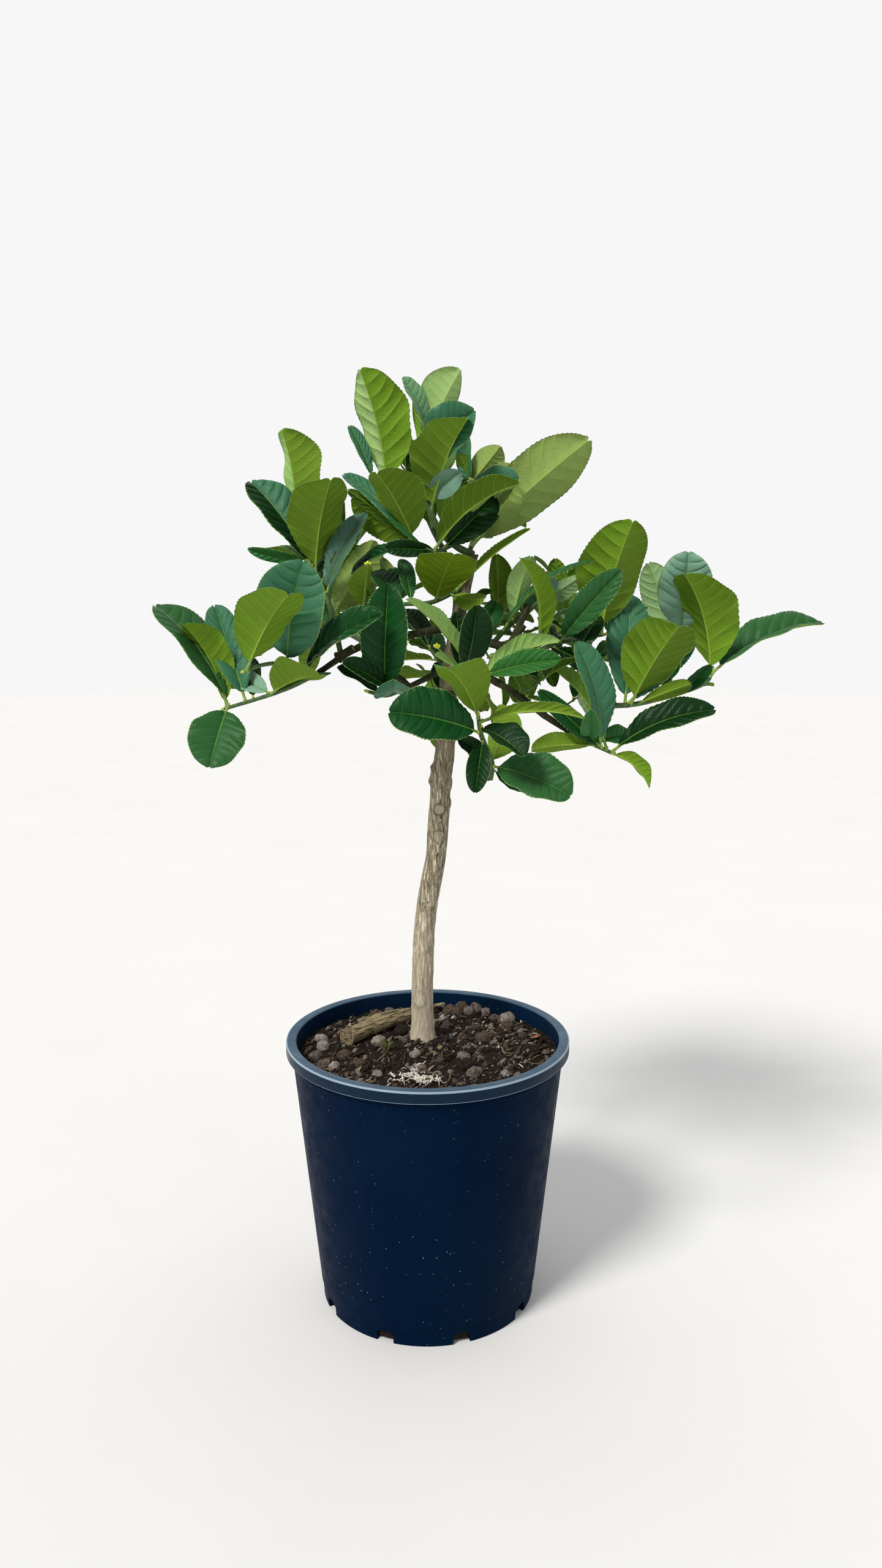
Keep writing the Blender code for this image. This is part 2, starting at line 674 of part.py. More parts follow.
def shoot_lines(limbs):
    """For each mass, its shoots with their smooth centre lines. The first starts on the limb that
    carries the mass, and the others on the first."""
    lines = {}
    for mass, (carrier, shoots) in MASSES.items():
        lines[mass] = []
        foot_line = limbs[carrier][0]
        for shoot in shoots:
            path = [Vector(p) for p in shoot.path]
            path[0] = nearest_on(foot_line, path[0])
            lines[mass].append((shoot, smooth_path(path, 3)))
            foot_line = lines[mass][0][1]
    return lines


def shoot_radii(shoot, path):
    last = len(path) - 1
    return [shoot.thick + (shoot.thin - shoot.thick) * i / last for i in range(last + 1)]


def grow_leaves(lines, space):
    """Every leaf of every mass, but none that would touch another mass or a limb. The marked leaves
    come first, so that no other takes their place, and a shoot that has them takes only spiral
    leaves that point to the back and don't hang. A leaf's foot lies inside its own shoot."""
    leaves = {mass: [] for mass in lines}

    def offer(mass, leaf):
        blade = leaf._replace(root=leaf.root + leaf.heading * LEAF_FOOT)
        if space.touches(mass, leaf_shape(blade, LEAF_CLEARANCE)):
            return
        space.add(mass, leaf_shape(leaf))
        leaves[mass].append(leaf)

    for mass, shoots in lines.items():
        for shoot, path in shoots:
            for row in shoot.marked:
                offer(mass, marked_leaf(path, *row))
    rng = random.Random(SEED)
    for mass, shoots in lines.items():
        for shoot, path in shoots:
            start = rng.uniform(0, 360)
            for number in range(shoot.spiral):
                leaf = spiral_leaf(path, number, shoot.spiral, shoot.size, start, rng)
                fits = leaf.heading.y > BEHIND and leaf.heading.z > HANGING or not shoot.marked
                if fits and inside_crown(leaf):
                    offer(mass, leaf)
    return leaves


def signed_volume(faces):
    total = 0
    for face in faces:
        corners = [loop.vert.co for loop in face.loops]
        for b, c in zip(corners[1:], corners[2:]):
            total += corners[0].dot(b.cross(c)) / 6
    return total


def keep_main_body(obj):
    """Drops loose scraps, and fills hollows that the leaves have sealed."""
    shell = bmesh.new()
    shell.from_mesh(obj.data)
    left = set(shell.faces)
    bodies = []
    while left:
        body = set()
        edge = [left.pop()]
        while edge:
            face = edge.pop()
            body.add(face)
            near = {f for e in face.edges for f in e.link_faces} & left
            left -= near
            edge.extend(near)
        bodies.append(body)
    bodies.sort(key=signed_volume, reverse=True)
    for body in bodies[1:]:
        verts = {v for face in body for v in face.verts}
        bmesh.ops.delete(shell, geom=list(verts), context="VERTS")
    shell.to_mesh(obj.data)
    shell.free()


def make_mass(name, shoots, leaves, carrier):
    """One mass: a stem with its other shoots and its leaves fused on by one union, then cut clear of
    the limb that carries it."""
    shapes = [tube_shape(path, shoot_radii(shoot, path), SHOOT_SIDES) for shoot, path in shoots]
    mass = mesh_object(name, *shapes[0])
    pieces = bpy.data.collections.new(name + " pieces")
    bpy.context.scene.collection.children.link(pieces)
    for shape in shapes[1:] + [leaf_shape(leaf) for leaf in leaves]:
        mesh_object(name + " piece", *shape, pieces)
    union = mass.modifiers.new("union", "BOOLEAN")
    union.operation = "UNION"
    union.operand_type = "COLLECTION"
    union.collection = pieces
    union.solver = "MANIFOLD"
    cutter = clearance_cutter(name + " carrier", *carrier)
    cut(mass, cutter)
    apply_modifiers(mass)
    for piece in [cutter, *pieces.objects]:
        remove(piece)
    bpy.data.collections.remove(pieces)
    keep_main_body(mass)
    return mass


def finish(obj, look):
    obj.data.materials.clear()
    obj.data.materials.append(look)


def main():
    clear_scene()
    plastic = material("pot plastic", (0.004, 0.012, 0.035), 0.5)
    earth = material("potting soil", (0.030, 0.020, 0.014), 0.95)
    bark = material("bark", (0.28, 0.24, 0.18), 0.8)
    foliage = material("foliage", (0.05, 0.13, 0.03), 0.45)
    finish(make_pot(), plastic)
    finish(make_soil(), earth)
    limbs = limb_lines()
    for limb in make_limbs(limbs).values():
        finish(limb, bark)
    lines = shoot_lines(limbs)
    space = Space()
    for name, limb in limbs.items():
        space.add(name, tube_shape(*limb))
    for mass, shoots in lines.items():
        for shoot, path in shoots:
            space.add(mass, tube_shape(path, shoot_radii(shoot, path), SHOOT_SIDES))
    leaves = grow_leaves(lines, space)
    for mass, shoots in lines.items():
        carrier = limbs[MASSES[mass][0]]
        finish(make_mass(mass, shoots, leaves[mass], carrier), foliage)


main()
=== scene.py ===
"""The looks of the potted Buddha's hand tree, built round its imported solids.

The frame is in metres, +Z up, with the viewer at -Y. Lengths in the tables below are millimetres.

The plant grows by the source's rule, written again here: a trunk carries boughs, and a mass of
foliage is a stem and its shoots with leaves along them. It is carried on to fine side twigs, leaf
stalks, buds and thorns, and each leaf has its own ribs, quilted blade and scalloped edge.
"""

import math
import random
from collections import namedtuple

import bpy
import numpy as np
from mathutils import Euler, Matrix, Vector, noise
from mathutils.bvhtree import BVHTree
from mathutils.geometry import intersect_point_line


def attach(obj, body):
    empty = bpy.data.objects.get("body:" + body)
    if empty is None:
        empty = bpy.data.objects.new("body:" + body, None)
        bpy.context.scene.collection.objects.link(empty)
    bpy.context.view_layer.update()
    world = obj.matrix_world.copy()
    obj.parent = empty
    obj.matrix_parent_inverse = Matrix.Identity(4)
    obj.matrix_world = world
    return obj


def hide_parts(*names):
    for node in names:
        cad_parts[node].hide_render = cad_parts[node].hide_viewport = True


MM = 0.001

# The angle in degrees above which an edge stays sharp
SHARP = 50
SHARP_ON_POT = 30
SHARP_ON_BARK = 75
SHARP_ON_STUBS = 40
SHARP_ON_SOIL = 60

UP = Vector((0, 0, 1))
VIEWER = Vector((0, -1, 0))
SEED = 31

# Camera, fitted to the photograph's frame
PHOTO_HEIGHT = 2560
FOCAL_PIXELS = 1923
SENSOR = 36
CAMERA_PLACE = (0.014, -1.20, 0.742)
CAMERA_TILT = 81.2
CLIP_START = 0.05
CLIP_END = 50

# Studio
LIT_POINT = (0.02, 0, 0.6)
FLOOR_RADIUS = 9000
FLOOR_DROP = 0.1
FLOOR_STEPS = 48
SKY_COLOUR = (1.0, 1.0, 1.0)
SKY_BEHIND = 0.93
SKY_IN_FRONT = 0.38
SKY_TURNS_BETWEEN = (-0.2, 0.6)
KEY_PLACE = (-1.6, -2.0, 3.4)
KEY_STRENGTH = 2.6
KEY_SIZE = 16
KEY_COLOUR = (1.0, 0.97, 0.92)
FILL_PLACE = (2.4, -2.0, 1.6)
FILL_STRENGTH = 6
FILL_SIZE = 2
FILL_COLOUR = (0.95, 0.98, 1.0)

# Pot
POT_HEIGHT = 286
RIM_RADIUS = 150
RIM_WIDTH = 11
LIP_HEIGHT = 13
LIP_OVERHANG = 6
LIP_ROUNDING = 2
STEP_BELOW_LIP = 8
STEP_DEPTH = 1.2
BASE_RADIUS = 114
BASE_LINE_HEIGHT = 18
BASE_LINE_STEP = 1.2
POT_WALL = 3
POT_STEPS = 240
# The pot edge is a painted highlight: a pale line under the lip and along its top outer edge
EDGE_LINE_BELOW = 1.1
EDGE_LINE_OUTSIDE = 1.4
EDGE_LINE_TOP = 1.6
NOTCHES = 9
NOTCH_WIDTH = 18.5
NOTCH_HEIGHT = 13
NOTCH_DEPTH = 12
NOTCH_BEARING = 18

# Soil
SOIL_BELOW_RIM = 19
SOIL_TOP = 275.5
SOIL_FLAT_RADIUS = 24
SOIL_SHOULDER_RADIUS = 80
SOIL_SHOULDER = 271
SOIL_RINGS = 64
SOIL_STEPS = 176

# The gap under what a solid carries, and the wider one between the soil and the pot's wall
GAP = 0.3
WALL_GAP = 0.6

# The soil's relief, coarse to fine: how high it stands, where its noise is cut and the noise's scale
SOIL_RELIEF = ((2.6, 0, 0.055), (1.7, 9, 0.16), (1.0, 4, 0.45))

# Crumbs and flakes of mulch: their half sizes each way as lowest and highest, how far they tilt,
# how uneven they are, and how often each look comes. A crumb's are shares of its own size.
CRUMBS = 2400
CRUMB_SIZE = 1.5
CRUMB_SIZE_STRAYS = 0.5
CRUMB_LIMITS = (0.7, 5)
CRUMB_SHAPE = ((0.9, 2.0), (0.5, 1.0), (0.4, 0.8))
CRUMB_TILT = 0.7
CRUMB_ROUGH = 0.5
CRUMB_LOOKS = {"dark crumb": 34, "brown crumb": 40, "grey crumb": 20, "pale crumb": 6}
PALE_CRUMB_SHARE = 0.6
CHIPS = 60
CHIP_SHAPE = ((3, 8), (1.5, 3.2), (0.6, 1.2))
CHIP_TILT = 0.25
CHIP_ROUGH = 0.35
CHIP_LOOKS = ("brown crumb", "dark crumb", "brown stone", "straw")

# Stones on the soil: where each lies, its half length, half width and half height, and its look
STONES = (
    (-54, 7, 9, 6.5, 6, "stone"), (-116, 27, 9, 6, 6, "stone"), (-112, 2, 7, 7, 6, "stone"),
    (-107, -44, 8, 6, 5, "brown stone"), (-96, -49, 6, 5, 4.5, "stone"), (-13, -31, 6, 5.5, 5, "stone"),
    (-50, -73, 6.5, 4.5, 4, "stone"), (90, 92, 11, 8, 7, "stone"), (75, 96, 7, 6, 5, "brown stone"),
    (66, 120, 7, 6, 5, "stone"), (48, -73, 10, 6, 5, "brown stone"), (79, -70, 5, 5, 4.5, "stone"),
    (20, 60, 6, 5, 4, "brown stone"), (38, -28, 8, 7, 4, "grey crumb"), (-5, -62, 6, 5, 5, "brown stone"),
    (10, -72, 5.5, 4.5, 4, "stone"), (16, 78, 5.5, 4.5, 3.5, "stone"), (104, 40, 6, 5, 4, "brown crumb"),
    (24, 118, 9, 8, 7, "brown crumb"), (38, 122, 9, 8, 9, "brown crumb"), (54, 122, 9, 8, 8, "brown stone"),
    (33, 110, 8, 7, 6, "brown crumb"), (46, 112, 7, 6, 6, "grey crumb"), (88, 60, 9, 7, 6, "brown crumb"),
    (60, 20, 12, 9, 7, "brown crumb"), (-88, -24, 9, 7, 6, "brown crumb"), (40, -52, 10, 8, 6, "dark crumb"),
    (-30, 30, 8, 7, 6, "dark crumb"), (-118, -20, 8, 6, 6, "brown stone"), (-70, -48, 8, 6, 5, "brown crumb"),
)

# The split stick on the soil, the flake that lies on it and a bit behind the trunk: the centre
# line of each, its half width and its half thickness
STICKS = (
    (((-87, 11, 280), (-55, 44, 280), (-24, 75, 279), (-8, 91, 277)), 13, 9),
    (((-76, 42, 283), (-48, 62, 285), (-21, 82, 283)), 6, 3),
    (((2, 112, 277), (18, 120, 278)), 3, 2.5),
)
STICK_BEARING = math.radians(45)
STICK_SIDES = 30
STICK_TAPER = 0.4
STONE_TILT = 0.15
STONE_ROUGH = 0.3

# White roots and fibres: the middle of each tuft, how far it spreads and how many it has
TUFTS = (
    (-16, -84, 17, 6, 26), (2, -90, 12, 5, 16), (-17, -70, 8, 6, 12), (-14, -60, 5, 7, 7),
    (38, 122, 9, 6, 16),
)
FIBRE_POINTS = 7
FIBRE_LIFT = (1, 3.4)
FIBRE_TURN = 1.1
FIBRE_STEP = (2.2, 1.7)
FIBRE_RADII = (0.55, 1.3)
FIBRE_END = 0.3
STRAWS = 110
STRAW_LENGTHS = (6, 22)
STRAW_BEND = 2.5
STRAW_RADII = (0.3, 0.7)
STRAW_LOOKS = {"straw": 3, "fibre": 1, "brown crumb": 6}
WEED = (-43, -16)
WEED_STEMS = 5
WEED_TURN = 2.4
WEED_RISE = (1.2, 2.4)
WEED_LENGTHS = (6, 12)
WEED_RADII = (0.5, 0.4, 0.3)
WEED_LEAF = (1.3, 0.5, 2.6)
DRY_LEAF = (117, 27)
DRY_LEAF_STEPS = 7
GROUND_SEED = 5

# Trunk. Its centre line, and those of the boughs and shoots below, were mostly worked out from
# points read off the photograph, each with a guessed depth.
TRUNK = (
    (-6, 20, SOIL_TOP + GAP), (-6, 20, 334), (-4, 18, 391), (0, 15, 430), (7, 12, 467), (10, 10, 494),
    (14, 5, 560), (17, 3, 581), (19, 0, 607), (22, 0, 663), (29, 0, 713), (39, 5, 760), (46, 10, 789),
)
TRUNK_RADIUS = 11.2
TRUNK_RADIUS_AT_CROWN = 9.8
TRUNK_TIP_RADIUS = 5
CROWN_BASE = 600
FLARE = 2.6
FLARE_HEIGHT = 14
TRUNK_SIDES = 14

# Marks on the bark: height, bearing (0 towards the viewer, 90 to the right), the half height and
# half width of the oval, how far its rim stands out, and how pale it is
Mark = namedtuple("Mark", "height bearing tall wide rise pale")
MARKS = (
    Mark(566, -82, 9, 8, 2.6, 0.1),
    Mark(530, 2, 6, 5.5, 0.9, 0.9),
    Mark(535, 72, 4, 5, 1.4, 0.0),
    Mark(519, 8, 2.5, 2, 0.4, 0.8),
    Mark(501, 6, 7.5, 5.5, 0.8, 0.8),
    Mark(484, -40, 4, 6, -1.0, 0.0),
    Mark(427, 4, 3, 6, 1.1, 0.4),
    Mark(374, 62, 5, 5, -1.4, 0.1),
    Mark(322, -16, 9, 7, 0.5, 0.15),
    Mark(455, 170, 7, 6, 0.9, 0.7),
    Mark(390, -140, 6, 5, 0.8, 0.5),
    Mark(556, 140, 8, 7, 1.8, 0.3),
)

# Across a mark, as shares of its oval: how far it reaches, where its rim lies and how wide that is,
# how much of the rim's height its middle keeps, and how steep a hollow is
MARK_REACH = 2.2
MARK_RIM = 0.85
MARK_RIM_WIDTH = 0.38
MARK_MIDDLE = 0.45
HOLLOW_STEEPNESS = 1.4

# Boughs: centre line, then the radius where it leaves the trunk and at its end
Bough = namedtuple("Bough", "path thick thin")
BOUGHS = {
    "bough_left": Bough(((29, 0, 718), (-18, -25, 709), (-66, -30, 698), (-108, -20, 672)), 4, 3),
    "bough_left_low": Bough(((23, 0, 677), (-5, -20, 664), (-28, -40, 655)), 3, 2.6),
    "bough_right": Bough(((33, 0, 707), (87, -20, 695), (142, -25, 671), (188, -20, 639)), 4.6, 3.2),
    "bough_right_low": Bough(((26, 0, 685), (80, -30, 657), (119, -40, 629), (150, -45, 611)), 4, 3),
    "bough_front": Bough(((23, 0, 651), (29, -70, 627), (45, -120, 598), (59, -132, 581)), 3.6, 2.8),
    "bough_back_left": Bough(((20, 0, 630), (-25, 70, 655), (-70, 125, 690)), 4.4, 3.4),
    "bough_back_right": Bough(((22, 0, 655), (70, 60, 672), (118, 112, 692)), 4.4, 3.4),
    "bough_back_top": Bough(((31, 0, 728), (28, 48, 765), (15, 88, 800)), 4, 3.2),
}
BOUGH_SIDES = 8
BOUGH_COLLAR = 1.3
BOUGH_COLLAR_LENGTH = 16
BARK_SIDES = 72
BOUGH_BARK_SIDES = 24
TRUNK_RING = 1.7
BOUGH_RING = 2.4
TRUNK_SUNK = 5
BARK_PROUD = 0.5

# Stubs of pruned twigs: where they start on the limb, where they end, and their radius
STUBS = (
    ((-88, -25, 687), (-72, -33, 697), 4.2),
    ((84, -18, 700), (101, -14, 739), 3.4),
    ((80, -18, 697), (97, -18, 719), 3.0),
)

# A stub's radius, as a share of its own, at each share of its length
STUB_SHAPE = ((0, 1.5), (0.15, 1.15), (0.5, 1), (0.85, 1.02), (0.97, 0.95), (1, 0.8))
STUB_SIDES = 14

# Foliage. A shoot is a centre line, its radius at foot and tip, how many spiral leaves it carries,
# and their length. A marked leaf is: how far along the shoot, its bearing (0 towards the viewer, 90
# to the right), its lift above the level, its length and width, how far its upper face is turned
# away from the viewer, how far each half folds up from the midrib, its colouring and, where it
# isn't the usual one, how high it arches as a share of its length. Most marked leaves were worked
# out by a search that matched their tip and edges, as read off the photograph.
Shoot = namedtuple("Shoot", "path thick thin spiral size marked")
MASSES = {
    "foliage_top": ("trunk", (
        Shoot(((46, 10, 789), (29, 2, 797), (11, 0, 815), (0, 2, 843), (-4, 5, 876), (3, 10, 905)),
              4, 2, 4, 60, (
            (1.00, 115, 63, 77, 58, 216, 35, "pale"),
            (0.98, -60, 62, 63, 29, 48, 30, "pale"),
            (0.84, -157, 67, 66, 17, 164, 30, "grass"),
            (0.80, 64, 40, 72, 62, -20, 30, "teal"),
            (0.45, 34, 53, 102, 79, 226, 40, "lime/olive"),
            (0.56, 67, 32, 43, 30, 12, 25, "sage"),
        )),
        Shoot(((26, 2, 799), (7, -18, 791), (-14, -22, 802)), 2.6, 2, 1, 50, (
            (0.55, 70, 36, 106, 53, 238, 30, "khaki/moss", 0.11),
            (0.35, 116, 42, 79, 43, 6, 30, "dark"),
            (1.00, -34, 45, 83, 68, 150, 40, "moss/olive"),
            (0.98, -124, 38, 109, 25, 34, 25, "teal"),
            (0.45, -74, 2, 53, 20, 2, 25, "dark"),
            (0.95, -115, -24, 77, 22, 54, 30, "deep"),
            (0.90, -108, 36, 88, 16, 166, 25, "dark"),
            (0.75, -68, 36, 46, 6, -2, 30, "leafy"),
            (0.92, -115, 32, 83, 50, 170, 25, "moss"),
        )),
        Shoot(((-2, 2, 835), (-20, 8, 841), (-37, 18, 851), (-57, 38, 867)), 2.4, 1.8, 2, 55, (
            (0.65, -102, 77, 120, 78, 144, 30, "leafy/pale"),
            (1.00, -128, 60, 63, 17, 28, 25, "teal"),
        )),
        Shoot(((42, 9, 791), (47, 18, 808), (46, 25, 835), (44, 30, 863)), 2.8, 2, 2, 55, (
            (0.10, 78, 41, 153, 71, 200, 20, "khaki"),
            (0.20, 48, 42, 75, 44, 138, 25, "khaki"),
            (0.96, 46, 0, 62, 30, -28, 20, "teal"),
            (1.00, 108, 50, 49, 39, 178, 30, "khaki"),
            (1.00, 90, 19, 46, 22, 188, 30, "khaki"),
            (0.98, -115, 67, 32, 20, 160, 20, "moss"),
            (0.94, -171, 60, 62, 24, -36, 25, "teal"),
        )),
    )),
    "foliage_upper_left": ("trunk", (
        Shoot(((39, 3, 759), (7, -15, 742), (-28, -20, 739), (-64, -22, 731)), 2.6, 1.8, 2, 55, (
            (0.35, 18, 37, 73, 66, 198, 12, "gold"),
            (0.13, 77, 39, 95, 16, 238, 30, "moss", 0.04),
            (1.00, 12, 61, 50, 36, 226, 35, "olive"),
            (0.65, -147, 32, 63, 43, 42, 25, "deep"),
            (0.72, -164, 45, 67, 20, 156, 20, "khaki"),
            (0.56, -164, 48, 60, 19, 16, 20, "moss"),
            (0.19, 39, -6, 52, 26, 148, 25, "olive"),
        )),
    )),
    "foliage_left_up": ("bough_left", (
        Shoot(((-86, -28, 689), (-97, -20, 740), (-117, -5, 783), (-135, 10, 822)), 3, 2, 4, 60, (
            (0.98, -115, 82, 93, 81, 130, 25, "olive/lime"),
            (0.60, 26, 61, 97, 75, 218, 25, "olive"),
            (0.63, -118, 50, 113, 53, 38, 25, "dark/teal"),
            (0.70, -73, 9, 61, 16, -24, 30, "leafy"),
            (0.42, 120, 61, 92, 35, -38, 30, "slate"),
            (0.28, 155, 42, 115, 52, 170, 30, "khaki"),
        )),
    )),
    "foliage_left_tip": ("bough_left", (
        Shoot(((-108, -20, 672), (-136, -18, 658), (-165, -12, 647), (-207, 0, 634)), 2.8, 1.8, 4, 65, (
            (1.00, -63, 64, 93, 52, 154, 35, "leafy", 0.12),
            (0.95, -106, 52, 128, 68, 60, 20, "fern", 0.10),
            (0.77, -145, 53, 119, 44, 20, 25, "teal"),
            (0.98, -15, -50, 71, 64, 0, 12, "fern"),
            (0.52, 50, 18, 76, 65, 232, 25, "olive"),
            (0.69, -165, 38, 64, 26, 20, 20, "dark"),
        )),
        Shoot(((-118, -20, 667), (-139, -35, 681), (-160, -45, 681), (-178, -45, 675)), 2.4, 1.8, 1, 60, (
            (0.39, 35, 71, 105, 85, -18, 15, "teal"),
            (0.97, 34, 38, 117, 73, 216, 30, "leafy"),
            (0.10, 56, 31, 114, 43, -50, 30, "deep", 0.10),
        )),
    )),
    "foliage_left_low": ("bough_left_low", (
        Shoot(((-28, -40, 655), (-41, -44, 651), (-57, -48, 655)), 2.8, 1.8, 3, 60, (
            (0.47, 42, 87, 107, 56, -4, 30, "deep"),
            (0.20, -54, 30, 65, 26, 46, 30, "dark"),
            (0.15, 0, 24, 37, 47, 6, 25, "teal"),
        )),
    )),
    "foliage_inner_front": ("trunk", (
        Shoot(((28, 0, 672), (34, -22, 674), (41, -36, 679)), 2.4, 1.8, 0, 50, (
            (1.00, -56, 43, 95, 31, 122, 30, "lime", 0.07),
            (0.82, 20, 63, 69, 41, 22, 25, "dark"),
            (0.60, -54, 29, 36, 12, 148, 25, "lime"),
            (0.50, -29, 84, 58, 22, 12, 20, "dark"),
        )),
    )),
    "foliage_inner_right": ("trunk", (
        Shoot(((29, 0, 661), (43, -30, 666), (57, -44, 671)), 2.6, 1.8, 0, 50, (
            (0.90, 71, 24, 85, 33, 226, 40, "lime", 0.10),
            (1.00, 74, 13, 77, 31, -26, 30, "grass"),
        )),
    )),
    "foliage_inner_back": ("trunk", (
        Shoot(((36, 5, 742), (54, 26, 728), (72, 38, 718)), 2.4, 1.8, 3, 60, (
            (1.00, 0, 78, 72, 34, 150, 30, "moss"),
        )),
    )),
    "foliage_right_up": ("bough_right", (
        Shoot(((66, -13, 701), (83, -8, 719), (102, 0, 732), (113, 10, 742)), 2.8, 1.8, 2, 55, (
            (0.44, 27, 63, 71, 30, 202, 20, "pale"),
            (0.20, 89, 38, 114, 14, 290, 30, "olive", 0.13),
            (0.60, 178, 39, 43, 30, 18, 30, "dark"),
            (1.00, 156, 55, 39, 33, 26, 30, "slate"),
            (0.97, 127, 25, 67, 25, 160, 25, "sage"),
        )),
    )),
    "foliage_right_middle": ("bough_right", (
        Shoot(((104, -22, 690), (131, -12, 701), (178, 0, 709)), 2.8, 1.9, 3, 60, (
            (1.00, 52, 74, 115, 83, 202, 20, "olive/leafy"),
            (0.12, -23, 57, 105, 38, 126, 40, "leafy", 0.12),
            (0.41, 58, 47, 95, 37, -18, 30, "fern"),
            (0.30, 102, -25, 66, 26, 0, 25, "dark"),
        )),
    )),
    "foliage_right_tip": ("bough_right", (
        Shoot(((188, -20, 639), (210, -15, 640), (251, 0, 648), (286, 15, 659), (294, 20, 672)),
              2.9, 1.8, 5, 65, (
            (0.14, 25, 46, 109, 81, 188, 30, "moss/leafy"),
            (0.09, 168, 64, 120, 50, -5, 8, "teal"),
            (0.10, 118, 39, 105, 29, -4, 30, "teal"),
            (0.94, -44, 63, 114, 81, 132, 25, "leafy", 0.12),
            (1.00, 100, 23, 129, 58, 292, 30, "fern", 0.10),
            (0.60, 48, 40, 46, 17, -2, 30, "deep"),
            (0.20, 46, 20, 65, 19, 180, 25, "olive"),
        )),
        Shoot(((242, 0, 645), (257, 35, 677), (267, 50, 712)), 2.4, 1.8, 3, 60, (
            (1.00, -1, 70, 87, 65, -12, 25, "sage"),
            (0.85, -135, 63, 92, 48, 170, 25, "sage"),
        )),
    )),
    "foliage_right_low": ("bough_right_low", (
        Shoot(((150, -45, 611), (165, -50, 603), (182, -52, 595)), 2.8, 1.8, 3, 55, (
            (0.97, 80, 24, 106, 42, -52, 25, "dark", 0.13),
            (1.00, 57, -37, 51, 35, 242, 25, "leafy", 0.13),
            (0.86, -95, 54, 108, 32, 116, 30, "fern", 0.12),
            (0.66, -66, 74, 106, 45, 38, 25, "teal", 0.10),
            (0.29, -3, 43, 50, 21, -12, 25, "olive"),
            (0.75, -82, 41, 87, 23, 0, 30, "deep"),
            (0.51, -65, 0, 71, 28, 160, 40, "olive"),
        )),
    )),
    "foliage_front_low": ("bough_front", (
        Shoot(((59, -132, 581), (60, -138, 598), (50, -152, 624), (47, -160, 642)), 2.8, 1.9, 0, 50, (
            (0.74, -80, 14, 84, 59, 32, 25, "deep", 0.10),
            (1.00, -28, 39, 74, 59, 152, 35, "olive/leafy", 0.10),
            (0.91, 75, 4, 93, 22, 232, 30, "olive", 0.10),
            (0.22, 162, 60, 60, 48, 140, 35, "olive"),
            (0.83, 44, -21, 57, 42, -56, 30, "dark"),
            (0.20, 61, -15, 80, 56, -40, 25, "fern"),
            (0.15, 105, -27, 43, 16, 20, 30, "deep"),
            (0.64, -17, -62, 50, 26, 6, 30, "dark"),
            (0.35, -72, 30, 35, 18, 14, 30, "dark"),
        )),
    )),
    "foliage_left_back": ("bough_left", (
        Shoot(((-58, -29, 700), (-88, 20, 712), (-128, 62, 716), (-160, 88, 730)), 2.8, 1.9, 8, 90, ()),
    )),
    "foliage_right_back": ("bough_right", (
        Shoot(((140, -25, 672), (166, 30, 684), (190, 72, 692), (214, 100, 712)), 2.8, 1.9, 8, 90, ()),
    )),
    "foliage_back_left": ("bough_back_left", (
        Shoot(((-70, 125, 690), (-92, 160, 722), (-106, 178, 762), (-112, 180, 800)), 3.2, 2, 8, 95, ()),
        Shoot(((-84, 147, 706), (-66, 196, 712), (-50, 228, 730)), 2.4, 1.8, 5, 90, ()),
    )),
    "foliage_back_right": ("bough_back_right", (
        Shoot(((118, 112, 692), (138, 142, 708), (150, 166, 728), (158, 184, 752)), 3.2, 2, 8, 85, ()),
        Shoot(((132, 134, 703), (112, 186, 700), (92, 224, 708)), 2.4, 1.8, 5, 85, ()),
    )),
    "foliage_back_top": ("bough_back_top", (
        Shoot(((15, 88, 800), (2, 112, 826), (-8, 122, 860), (-4, 118, 892)), 3, 2, 8, 85, ()),
        Shoot(((6, 104, 815), (34, 132, 824), (60, 146, 842)), 2.4, 1.8, 5, 80, ()),
    )),
    "foliage_back": ("trunk", (
        Shoot(((21, 0, 640), (24, 44, 652), (18, 92, 662), (14, 140, 682)), 3, 2, 9, 90, ()),
    )),
}
SHOOT_SIDES = 5
SHOOT_END = 0.97

# The spiral rule for leaves: angles in degrees, and how far each one strays
SPIRAL_TURN = 144
SPIRAL_TURN_STRAYS = 15
SPIRAL_START = 0.22
SPIRAL_ZERO = UP + VIEWER * 0.1
FACE_ALONG_SHOOT = 0.5
LEAN_AT_FOOT = 62
LEAN_AT_TIP = 32
LEAN_STRAYS = 8
DROOP = 0.2
ROLL_STRAYS = 25
LENGTH_RANGE = (0.8, 1.15)
LENGTH_AT_FOOT = 1.1
LENGTH_LOST_TO_TIP = 0.3
SPIRAL_WIDTH = 0.46
BEHIND = 0.1
HANGING = -0.5
FOLD_RANGE = (15, 35)

# The leaf's space in the solids: half its width at each place along it, as a share of the widest
LEAF_OUTLINE = ((0.10, 0.07), (0.32, 0.82), (0.62, 1.0), (0.90, 0.72))
LEAF_ARCH = 0.07
LEAF_THICKNESS = 0.013
LEAF_LEAST_THICKNESS = 0.8
LEAF_CLEARANCE = 0.8
LEAF_FOOT = 2

# The crown's own space: an egg that no spiral leaf may leave
CROWN_CENTRE = Vector((40, 20, 735))
CROWN_HALF_SIZE = Vector((330, 245, 232))

